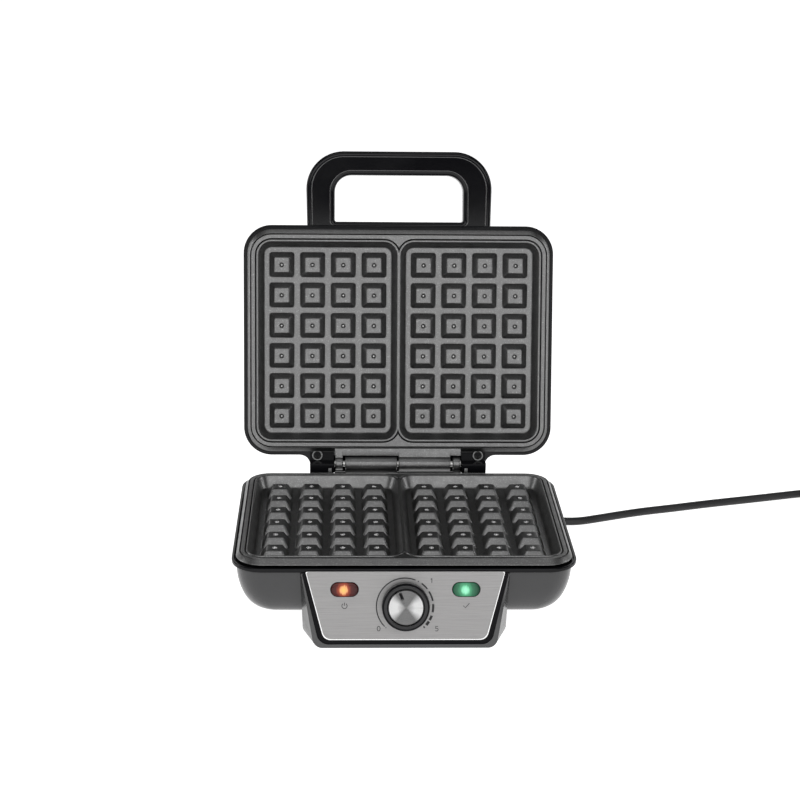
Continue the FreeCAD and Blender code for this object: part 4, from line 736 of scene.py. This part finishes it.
def dull_arms(piece):
    """Faces whose middle lies on an arm, with the lid shut, get the duller black."""
    mesh = piece.data
    mesh.materials.append(DULL_BLACK)
    x, y, _ = swing(get_points(mesh.polygons, "center"), -OPEN_ANGLE).T
    on_arm = (np.abs(x) > ARM_X[0]) & (np.abs(x) < ARM_X[1]) & (y > ARM_Y)
    mesh.polygons.foreach_set("material_index", on_arm.astype(np.int32))


show("lip_frame_lower", [frame_ring()], BLACK_GLOSS, "base", "black_gloss", "base_frame", sharp=50)
lid_frame = softened("lid_frame", 0.6, reshape=flat_arms)
dress(lid_frame, BLACK_GLOSS, "lid", "black_gloss", "lid_frame")
dull_arms(lid_frame)

# %% [markdown]
# ## Arm screws
# Each hinge arm shows one flanged screw: a turned ring with a head in its bore, painted dark as
# painted shade of the bore. The head's cross is made by sinking two arms of its disc.

# %% Arm screws
SCREW_X, SCREW_Y, SCREW_FACE_Z, BORE_RADIUS = 63.3, 60.45, 61.0, 2.95
CROSS_HALF, CROSS_REACH, CROSS_DEPTH, HEAD_RINGS, HEAD_THICK = 0.38, 1.8, 0.6, 14, 0.8


def screw_flange(x):
    """Heights count from the flange's face into the arm: outer wall, face, bore."""
    section = [(4.0, 1.9), (4.15, 1.6), (4.15, 0.0), (3.2, 0.0), (BORE_RADIUS, 0.3), (BORE_RADIUS, 1.6)]
    flange = rounded_profile(section, [0, 0.2, 0.4, 0.2, 0.2, 0])
    return skin(turned(flange, (x, SCREW_Y, SCREW_FACE_Z)), flip=True, close=True)


def screw_head(x):
    """A low disc in the bore that sinks where it lies in the cross."""
    disc = np.linspace((BORE_RADIUS, 1.3), (0.05, 1.0), HEAD_RINGS)
    rings = turned(disc, (x, SCREW_Y, SCREW_FACE_Z))
    reach = np.abs(rings[..., :2] - [x, SCREW_Y])
    cross = (reach.min(axis=-1) < CROSS_HALF) & (reach.max(axis=-1) < CROSS_REACH)
    rings[..., 2] += np.where(cross, CROSS_DEPTH, 0.0)
    back = rings[:1] + [0, 0, HEAD_THICK]
    return skin(np.concatenate([back, rings]), flip=True, caps=True)


flanges, heads = ([shape(x) for x in (-SCREW_X, SCREW_X)] for shape in (screw_flange, screw_head))
show("arm_screw_flanges", flanges, STEEL_DARK, "lid", "bare_steel", "lid_screws", place=swing)
# The heads are painted dark as the shade of their bores.
show("arm_screw_heads", heads, HEAD_PAINTED_SHADE, "lid", "bare_steel", place=swing)

# %% [markdown]
# ## Handle
# The handle is a closed loop of black plastic. Its cross-section is carried round with an outer and
# an inner outline: each loop of points keeps a fixed distance from one of them. A seam runs round the
# middle, and two fine beads follow the edges of the face towards the plates and catch the light.

# %% Handle
HANDLE_Z, HANDLE_THICK, HANDLE_HALF, HANDLE_REACH, HANDLE_BAR, HANDLE_LEG = 62.7, 22.0, 73.0, 57.3, 18.5, 22.9
HANDLE_SILL, HANDLE_CORNER, WINDOW_CORNER, WINDOW_ROOT, HANDLE_TAPER = 2.8, 30.0, 13.0, 1.6, 1.4
HANDLE_STEPS, ROOT_CORNER, SEAM_HALF = 16, 0.4, 0.25


def loops_of(section):
    """Section points are (side, distance, height): side 0 counts inwards from the outer outline, 1 outwards
    from the window."""
    which, away, z = np.array(section).T
    outer, end = which == 0, FRONT_Y - HANDLE_REACH
    half = np.where(outer, HANDLE_HALF - away, HANDLE_HALF - HANDLE_LEG + away)
    far = np.where(outer, end + away, end + HANDLE_BAR - away)
    root = np.where(outer, FRONT_Y, np.minimum(FRONT_Y - HANDLE_SILL + away, FRONT_Y))
    low_r = np.where(outer, HANDLE_CORNER - away, WINDOW_CORNER + away)
    window_r = WINDOW_ROOT + away - np.maximum(away - HANDLE_SILL, 0) * 2
    high_r = np.where(outer, ROOT_CORNER, np.maximum(window_r, ROOT_CORNER))
    x, y = side_loop(-half, half, far, root, low_r, high_r, HANDLE_STEPS)
    lean = HANDLE_TAPER * np.clip((y - end) / HANDLE_REACH, 0, 1)
    x = np.where(outer[:, None], x - np.sign(x) * lean, x)
    return np.stack([x, y, np.broadcast_to(z[:, None] + HANDLE_Z, x.shape)], axis=-1)


def handle_section():
    """Round the bar: the outer side with its seam, the face, the window's side and the back."""
    middle = HANDLE_THICK / 2
    front = [(0.0, middle - SEAM_HALF), (0.0, 2.6), (0.35, 1.3), (1.3, 0.35), (2.6, 0.0), (3.2, 0.0)]
    back = [(away, HANDLE_THICK - z) for away, z in front]
    outer, window = [(0.35, middle)] + front, front[::-1] + [(0.3, middle)] + back
    return [(0, *p) for p in outer] + [(1, *p) for p in window] + [(0, *p) for p in back[::-1]]


def edge_bead(side, middle):
    """A half-round bead on the face, a fixed distance from one outline."""
    half = [(-0.5, 0.1), (-0.42, -0.16), (-0.2, -0.33)]
    shape = half + [(0.0, -0.38)] + [(-across, z) for across, z in half[::-1]]
    order = shape if side == 0 else shape[::-1]
    return skin(loops_of([(side, middle + across, z) for across, z in order]), flip=True, close=True)


handle = [skin(loops_of(handle_section()), flip=True, close=True)]
show("loop_handle", handle, BLACK_SATIN, "lid", "black_gloss", "handle_inner", "handle_outer", place=swing)
beads = [edge_bead(0, 4.3), edge_bead(1, 3.6)]
show("handle_edge_beads", beads, LINE_BLACK, "lid", "black_gloss", place=swing, sharp=60)

# %% [markdown]
# ## Housings
# The two bowls and the control housing keep the solids' own form, with its feet, vents and screw
# pockets. A copy of each is merged into whole faces, and a small bevel gives the edges a mould radius.

# %% Housings from the solids
HOUSINGS = (("base_shell", "base", 0.35), ("lid_shell", "lid", 0.35), ("control_housing", "base", 0.9))
for node, body, width in HOUSINGS:
    dress(softened(node, width), GREY_SHELL, body, "grey_housing", node)

# %% [markdown]
# ## Control panel
# A black frame holds the brushed steel sheet. On it are the printed dial scale, the two lenses and the
# knob. Panel coordinates run to the right, up the slope and out of the sheet, so flat things are easy.

# %% Panel frame and steel sheet
KNOB_S, LENS_X, LENS_S = 22.3, 42.0, 11.3
SHEET_TOP_HALF, SHEET_LOW_HALF, SHEET_TOP_S, SHEET_LOW_S = 68.5, 56.4, 1.1, 46.3
SHEET_RISE, SHEET_LIFT, TOP_BAND = 2.2, 0.05, 2.0
SHEET_SPREAD = SHEET_RISE * (SHEET_TOP_HALF - SHEET_LOW_HALF) / (SHEET_LOW_S - SHEET_TOP_S)
EDGE_ARC, EDGE_RISE = 8, 0.04


def raised_sheet(points):
    """Lifts the sheet by a hair and draws its top edge up the slope, over the tray's upper rail."""
    origin = onto_panel(np.zeros((1, 3)))
    right, slope, out = onto_panel(np.eye(3)) - origin
    top = ((points - origin) @ slope > -SHEET_TOP_S - TOP_BAND)[:, None]
    move = SHEET_RISE * slope + np.sign(points[:, :1]) * SHEET_SPREAD * right
    return points + SHEET_LIFT * out + np.where(top, move, 0.0)


def trapezium_loop(grow, out):
    """The sheet's outline, grown outwards: small corners above, large ones below, each a quadratic curve."""
    top, low = SHEET_TOP_HALF + SHEET_SPREAD + grow, SHEET_LOW_HALF + grow
    high = SHEET_RISE - SHEET_TOP_S + grow
    corners = [(top, high), (-top, high), (-low, -SHEET_LOW_S - grow), (low, -SHEET_LOW_S - grow)]
    line = rounded_profile(corners, [1.0, 1.0, 5.0, 5.0], EDGE_ARC, closed=True)
    return np.c_[line, np.full(len(line), out)]


def sheet_edge():
    """A narrow band along the sheet's edge, raised by a hair; it leaves out the top. Its light steel is the
    polished cut edge with a painted highlight on it.
    """
    section = ((-0.7, 0.0), (-0.68, EDGE_RISE), (-0.22, EDGE_RISE), (-0.2, 0.0))
    rows = [trapezium_loop(grow, SHEET_LIFT + rise) for grow, rise in section]
    path = np.roll(np.stack(rows, axis=1), -EDGE_ARC - 1, axis=0)
    return skin(path, caps=True)


dress(softened("control_bezel", 0.25), DULL_BLACK, "base", "black_gloss", "control_bezel")
fascia = softened("steel_fascia", 0.1, reshape=raised_sheet)
dress(fascia, STEEL_PANEL, "base", "brushed_steel", "steel_fascia")
# The edge band is the cut edge and a painted highlight.
show("fascia_cut_edge", [sheet_edge()], CUT_EDGE_HIGHLIGHT, "base", "brushed_steel", place=onto_panel, sharp=30)

# %% [markdown]
# ## Printed marks
# The scale is dark ink: a fine ring for warming up, dashes that grow towards the brown end, and plain
# numbers at its ends. The words of the real panel are left off; small signs stand under the lenses.
# Each mark is a thin strip that follows its own line.

# %% Ink strips
DIAL_RADIUS, DIAL_AT, INK_WIDTH, SIGN_S = 19.6, (-0.4, -KNOB_S - 0.7), 0.5, -22.6
INK_TOP, INK_LOW = SHEET_LIFT + 0.05, SHEET_LIFT - 0.02
DIAL_ARCS = (  # start and end in degrees, width, points
    (-135, 22, 0.8, 90), (27, 29.4, 0.8, 5), (36, 52, 1.0, 16), (58, 79, 1.2, 16), (85, 102, 1.5, 16),
    (109, 119, 1.8, 16), (122, 131, 2.0, 9), (135.5, 138.5, 1.4, 5), (-139.5, -137.5, 0.7, 5))


def strip_along(line, width, top=INK_TOP, low=INK_LOW):
    """A flat band along a line of (x, up) points: each point moves sideways by half the width."""
    line = np.asarray(line, float)
    along = np.gradient(line, axis=0)
    along /= np.linalg.norm(along, axis=1, keepdims=True)
    side = np.stack([-along[:, 1], along[:, 0]], axis=1) * width / 2
    corners = ((-1, top), (1, top), (1, low), (-1, low))
    loop = np.stack([np.c_[line + sign * side, np.full(len(line), out)] for sign, out in corners], axis=1)
    return skin(loop, flip=True, caps=True)


def ellipse_line(centre, half_x, half_y, start=0, end=360, steps=33):
    """Angle a in degrees, clockwise from the top: centre + (half x sin a, half y cos a)."""
    a = np.radians(np.linspace(start, end, steps))
    return np.stack([half_x * np.sin(a), half_y * np.cos(a)], axis=1) + centre


def printed_marks():
    """The dial's arcs, the numbers 0, 1 and 5, a power sign and a tick."""
    arcs = [strip_along(ellipse_line(DIAL_AT, DIAL_RADIUS, DIAL_RADIUS, start, end, steps), width)
            for start, end, width, steps in DIAL_ARCS]
    zero = ellipse_line((-18.4, -38.3), 1.0, 1.6)
    one = [(17.4, -4.4), (18.2, -3.5), (18.2, -6.8)]
    five = [(22.6, -36.8), (20.9, -36.8), (20.75, -38.3), (21.6, -38.05), (22.5, -38.45), (22.65, -39.3),
            (22.1, -40.0), (20.7, -39.9)]
    ring = ellipse_line((-LENS_X, SIGN_S), 1.8, 1.8, 35, 325)
    bar = [(-LENS_X, SIGN_S + 2.3), (-LENS_X, SIGN_S + 0.2)]
    tick = [(LENS_X - 2.0, SIGN_S + 0.1), (LENS_X - 0.6, SIGN_S - 1.4), (LENS_X + 2.2, SIGN_S + 1.8)]
    return arcs + [strip_along(line, INK_WIDTH) for line in (zero, one, five, ring, bar, tick)]


show("dial_marks", printed_marks(), INK, "base", "black_gloss", place=onto_panel)

# %% [markdown]
# ## Knob
# The knob is turned: a black skirt with a chamfer, a glossier flat ring on its face, and a steel cap
# spun on a lathe. The cap carries a UV map of angle and radius, and the shader stretches its gloss along
# the angle; two bright and two dark fans are painted into its colour as painted highlight and shade.
# The pointer is a short slot with a dark strip in it, painted shade of the slot.

# %% Knob and cap
KNOB_AT, KNOB_AROUND, POINTER_LEAN = (0, -KNOB_S, 0), 96, math.radians(22.0)
SKIRT_PROFILE = [(14.0, 0.6), (16.35, 0.6), (16.35, 11.2), (15.3, 12.35), (12.9, 12.35), (12.5, 12.1),
                 (12.5, 11.0)]
SKIRT_ROUNDING = [0, 0.3, 0.5, 0.4, 0.25, 0.2, 0]
FACE_PROFILE = [(15.1, 12.3), (14.9, 12.39), (13.1, 12.39), (12.9, 12.3)]
CAP_ROWS, CAP_AROUND, CAP_TOP, CAP_FLAT = 54, 240, 12.4, 11.5
CAP_RIM = np.array([(11.75, 12.35), (11.95, 12.15), (12.0, 11.4)])
SLOT_SPAN, SLOT_EDGE, SLOT_SLOPE, SLOT_DEPTH = (6.6, 10.2), 1.05, 0.35, 0.55
# A dark strip in the pointer slot: painted shade of the slot.
SHADE_STRIP_SPAN, SHADE_STRIP_WIDTH, SHADE_STRIP_TOP, SHADE_STRIP_LOW = (6.4, 10.4), 1.25, 12.2, 11.5


def cap_surface():
    """A disc in radius and angle with a bevelled rim; it sinks within a fixed reach of the slot's line."""
    flat = CAP_ROWS - len(CAP_RIM)
    radius = np.concatenate([np.linspace(0.1, CAP_FLAT, flat), CAP_RIM[:, 0]])
    level = np.concatenate([np.full(flat, CAP_TOP), CAP_RIM[:, 1]])
    angle = np.linspace(0, 2 * math.pi, CAP_AROUND, endpoint=False)
    x, y = radius[:, None] * np.cos(angle), radius[:, None] * np.sin(angle)
    along = -x * math.sin(POINTER_LEAN) + y * math.cos(POINTER_LEAN)
    across = x * math.cos(POINTER_LEAN) + y * math.sin(POINTER_LEAN)
    reach = np.hypot(across, along - np.clip(along, *SLOT_SPAN))
    sunk = np.clip((SLOT_EDGE - reach) / SLOT_SLOPE, 0, 1)
    z = level[:, None] - SLOT_DEPTH * sunk * sunk * (3 - 2 * sunk)
    return np.stack([x, y - KNOB_S, z], axis=-1)


def add_spin_map(piece):
    """UV: angle along u, radius along v, one value per face corner."""
    mesh = piece.data
    index = np.empty(len(mesh.loops), dtype=np.int32)
    mesh.loops.foreach_get("vertex_index", index)
    u, v = (index % CAP_AROUND) / CAP_AROUND, (index // CAP_AROUND) / CAP_ROWS
    layer = mesh.uv_layers.new(name="spin")
    layer.data.foreach_set("uv", np.stack([u, v], axis=1).astype(np.float32).ravel())


# Two bright and two dark fans painted into the cap's colour: painted highlight and painted shade.
PAINTED_FAN_EDGE, PAINTED_FAN_SHADE, PAINTED_FAN_HIGHLIGHT = (-0.3, 0.7), (0.08,) * 3, (0.42,) * 3


def spun_steel_painted_fans():
    """Steel with its gloss drawn out along the lathe's circles and fine rings in its roughness; fans of
    painted highlight and painted shade lie in its colour.
    """
    material, tree, shader = new_material("spun_steel_painted_fans", PAINTED_FAN_HIGHLIGHT, 0.32, 1.0)
    uv = add_node(tree, "ShaderNodeUVMap", uv_map="spin").outputs["UV"]
    stretch = add_node(tree, "ShaderNodeMapping", {"Vector": uv, "Scale": (2.0, 260.0, 1.0)}).outputs[0]
    rings = add_node(tree, "ShaderNodeTexNoise", {"Vector": stretch, "Scale": 1.0}).outputs[0]
    split = add_node(tree, "ShaderNodeSeparateXYZ", {"Vector": uv}).outputs
    twice = math_node(tree, "COSINE", math_node(tree, "MULTIPLY", split["X"], 4 * math.pi))
    # The fan mask paints highlight and shade into the colour; it fades towards the middle and takes the
    # rings' noise.
    painted_fans = remap(tree, twice, *PAINTED_FAN_EDGE, 0.0, 0.88)
    faded_fan_paint = math_node(tree, "MULTIPLY", painted_fans, remap(tree, split["Y"], 0.06, 0.5, 0.12, 1.0))
    fan_paint_and_rings = math_node(tree, "ADD", faded_fan_paint, remap(tree, rings, 0.3, 0.7, 0.0, 0.12))
    tangent = add_node(tree, "ShaderNodeTangent", direction_type="UV_MAP", uv_map="spin").outputs["Tangent"]
    wire(shader, {"Base Color": mix_color(tree, fan_paint_and_rings, PAINTED_FAN_SHADE, PAINTED_FAN_HIGHLIGHT), "Anisotropic": 0.85,
                  "Roughness": remap(tree, rings, 0.3, 0.7, 0.26, 0.36), "Tangent": tangent})
    return material


skirt_profile = rounded_profile(SKIRT_PROFILE, SKIRT_ROUNDING, 6)
skirt = skin(turned(skirt_profile, KNOB_AT, around=KNOB_AROUND), close=True)
on_panel = {"place": onto_panel, "sharp": 50}
show("knob_skirt_turned", [skirt], DULL_BLACK, "knob", "black_gloss", "knob_skirt", **on_panel)
face_ring = skin(turned(FACE_PROFILE, KNOB_AT, around=KNOB_AROUND), close=True)
show("knob_face_ring", [face_ring], KNOB_FACE, "knob", "black_gloss", place=onto_panel)
disc = skin(cap_surface(), flip=True, caps=True)
cap = make_piece("knob_cap_spun", [disc], seams=False, **on_panel)
add_spin_map(cap)
dress(cap, spun_steel_painted_fans(), "knob", "brushed_steel", "knob_cap")
pointing = [-math.sin(POINTER_LEAN), math.cos(POINTER_LEAN)]
slot_line = np.linspace(*SHADE_STRIP_SPAN, 9)[:, None] * pointing - [0, KNOB_S]
# The dark strip lying in the slot is painted shade.
slot_shade = strip_along(slot_line, SHADE_STRIP_WIDTH, SHADE_STRIP_TOP, SHADE_STRIP_LOW)
show("pointer_slot_shade", [slot_shade], DULL_BLACK, "knob", "black_gloss", place=onto_panel)

# %% [markdown]
# ## Lenses
# Behind each lens a small lamp glows. The middle of the lens is bright and its ends are deep and dark,
# with fine upright ribs. The glow is a mask over the lens's own width, put on the emission colour.

# %% Lenses
LENS_STRAIGHT, GLOW_SHIFT, GLOW_SCALE = 4.7, -0.6, np.array([104.0, 0.0, 95.0])
LENS_ROWS = ((4.75, -0.4), (4.75, 0.25), (4.6, 0.6), (4.2, 0.85), (2.9, 0.97), (0.9, 1.0))
GASKET_ROWS = ((5.15, -0.1), (5.15, 0.2), (5.05, 0.35), (4.75, 0.35), (4.65, 0.2))


def stadium_loops(rows, x):
    """Two half circles joined by straights, from rows of (radius, height) at one place on the panel."""
    sizes = [(radius + LENS_STRAIGHT, radius, radius, z) for radius, z in rows]
    return flat_loops(sizes, corner=10, centre=(x, -LENS_S))


def lit_lens(name, x, deep, dusk, glow, core, heart):
    """Emission by distance from the lens's middle: heart, core, glow, dusk, and deep at the ends."""
    material, tree, shader = new_material(name, deep, 0.16)
    centre = onto_panel(np.array([[x + GLOW_SHIFT, -LENS_S, 0.0]]))[0] * MM
    place = object_place(tree, tuple(GLOW_SCALE), tuple(-centre * GLOW_SCALE))
    length = add_node(tree, "ShaderNodeVectorMath", {0: place}, operation="LENGTH").outputs["Value"]
    ribs = noise_at(tree, 900.0, 2.0, (1.0, 0.3, 0.3))
    ripple = math_node(tree, "ADD", length, remap(tree, ribs, 0.3, 0.7, -0.04, 0.04))
    ramp = add_node(tree, "ShaderNodeValToRGB", {"Fac": ripple})
    stops = ramp.color_ramp.elements
    settle(stops[0], position=0.08, color=(*heart, 1))
    settle(stops[1], position=0.95, color=(*deep, 1))
    for position, color in ((0.22, core), (0.34, glow), (0.55, dusk)):
        stops.new(position).color = (*color, 1)
    body = mix_color(tree, remap(tree, ribs, 0.3, 0.7), deep, tuple(c * 1.6 for c in deep))
    wire(shader, {"Base Color": body, "Emission Color": ramp.outputs["Color"], "Emission Strength": 1.0,
                  "Specular IOR Level": 0.2})
    return material


LENS_COLORS = (
    ("power", -LENS_X, "orange_lens", (0.012, 0.001, 0.001), (0.07, 0.008, 0.006), (0.36, 0.06, 0.025),
     (0.98, 0.47, 0.19), (1.0, 0.62, 0.17)),
    ("ready", LENS_X, "green_lens", (0.002, 0.02, 0.01), (0.03, 0.15, 0.075), (0.08, 0.36, 0.18),
     (0.27, 0.83, 0.5), (0.42, 1.0, 0.68)))
for word, x, slot, *colors in LENS_COLORS:
    crown, glow = skin(stadium_loops(LENS_ROWS, x), caps=True), lit_lens(word + "_glow", x, *colors)
    show(word + "_lens_crown", [crown], glow, "base", slot, word + "_lens", place=onto_panel, sharp=60)
gaskets = [skin(stadium_loops(GASKET_ROWS, x), close=True) for x in (-LENS_X, LENS_X)]
show("lens_gaskets", gaskets, DULL_BLACK, "base", "black_gloss", place=onto_panel, sharp=60)

# %% [markdown]
# ## Small parts
# Screws, pin, feet, strain relief, plug and everything inside the housings are right as solids. They
# only need finishes of their own.

# %% Finishes on the remaining solids
SHEATH = brushed_steel("element_sheath", (0.34, 0.33, 0.31), 900.0)
SHEET = brushed_steel("shield_sheet", (0.7, 0.7, 0.69), 500.0)
PLATED = brushed_steel("plated_pin", (0.72, 0.68, 0.58), 1500.0)
GLASS = moulded("lamp_glass", (0.5, 0.48, 0.44), (0.6, 0.58, 0.52), 0.12, 0.05, 900.0, 0.02)
LEADS = moulded("lead_sleeve", (0.45, 0.43, 0.4), (0.52, 0.5, 0.46), 0.6, 0.1, 3000.0, 0.08)
PALE_MOULDING = moulded("pale_moulding", (0.6, 0.57, 0.5), (0.66, 0.63, 0.56), 0.5, 0.1, 2000.0, 0.05)
FINISH = (
    (STEEL_PLAIN, ("hinge_pin", "base_screws", "thermostat", "thermostat_nut", "thermostat_shaft",
                   "thermal_fuse")),
    (SHEATH, ("lower_element", "upper_element")), (SHEET, ("lower_shield", "upper_shield")),
    (GLASS, ("power_lamp", "ready_lamp")), (PALE_MOULDING, ("terminal_block",)),
    (LEADS, ("base_wiring", "lid_wiring")), (RUBBER, ("rubber_feet",)), (PLATED, ("plug_pins",)),
    (CORD_BLACK, ("coil_tie", "plug_body", "strain_relief")))
for material, nodes in FINISH:
    for node in nodes:
        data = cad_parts[node].data
        data.materials.clear()
        data.materials.append(material)
    print(material.name, "on", ", ".join(nodes))

# %% [markdown]
# ## Stage and light
# The photograph is a cut-out on white with light from the front. A wide low lamp and a softbox above it
# stand behind the camera, a weak box hangs overhead, two strips at the sides draw the edges, and the
# world fills in softly. The floor and the wall behind are white sheets that still take the shadow. Seen
# by the camera, in polish or through glass they have a glow of their own, just enough to read as white.

# %% Floor, world and lamps
SHEET_REACH, WALL_Y, WALL_HEIGHT, SHEET_GLOW, WORLD_LEVEL = 12.0, 6.0, 4.0, 0.94, 0.06


def add_lamp(name, at, target, size, power):
    """A rectangular lamp that looks along target - at."""
    data = settle(bpy.data.lights.new(name, "AREA"), shape="RECTANGLE", energy=power)
    settle(data, size=size[0], size_y=size[1])
    turn = (Vector(target) - Vector(at)).to_track_quat("-Z", "Y").to_euler()
    settle(add_object(name, data), location=at, rotation_euler=turn, visible_camera=False)


def seen_directly(tree):
    """1 for rays from the camera, in mirrors and through glass; 0 for the light that falls on things."""
    path = add_node(tree, "ShaderNodeLightPath").outputs
    seen = math_node(tree, "MAXIMUM", path["Is Camera Ray"], path["Is Glossy Ray"])
    return math_node(tree, "MAXIMUM", seen, path["Is Transmission Ray"])


def dim_world():
    world = bpy.data.worlds.new("dim_room")
    bpy.context.scene.world = world
    world.use_nodes = True
    wire(world.node_tree.nodes["Background"], {"Color": (1, 1, 1, 1), "Strength": WORLD_LEVEL})


def white_sheets():
    """A floor and a low wall: their own white answers the lamps, and what is seen directly also glows."""
    x, quad = SHEET_REACH, [np.array([[0, 1, 2, 3]])]
    flat = np.array([(-x, -x, 0), (x, -x, 0), (x, x, 0), (-x, x, 0)]) / MM
    y, z = WALL_Y, WALL_HEIGHT
    wall = np.array([(-x, y, 0), (x, y, 0), (x, y, z), (-x, y, z)]) / MM
    floor = make_piece("white_floor", [(flat, quad), (wall, quad)])
    material, tree, shader = new_material("white_sheet", (0.86,) * 3, 0.9)
    smudge = use_group(tree, FINE_GRAIN, 300.0)["Smudge"]
    glow = mix_color(tree, seen_directly(tree), (0.0,) * 3, (1.0,) * 3)
    wire(shader, {"Base Color": mix_color(tree, smudge, (0.85,) * 3, (0.87,) * 3),
                  "Emission Color": glow, "Emission Strength": SHEET_GLOW})
    floor.data.materials.append(material)


dim_world()
white_sheets()
add_lamp("low_window", (-0.1, -2.1, 0.4), (-0.1, 0, 0.4), (3.4, 0.72), 17.5)
add_lamp("high_softbox", (-0.1, -2.0, 1.5), (0, 0, 0.16), (3.4, 1.0), 31.0)
add_lamp("top_box", (0, -0.3, 1.9), (0, -0.05, 0.06), (1.6, 1.0), 6.0)
add_lamp("left_strip", (-1.3, 0.1, 0.5), (0, 0, 0.15), (0.25, 1.0), 5.0)
add_lamp("right_strip", (1.3, 0.1, 0.5), (0, 0, 0.15), (0.25, 1.0), 5.0)
print("lamps:", len(bpy.data.lights))
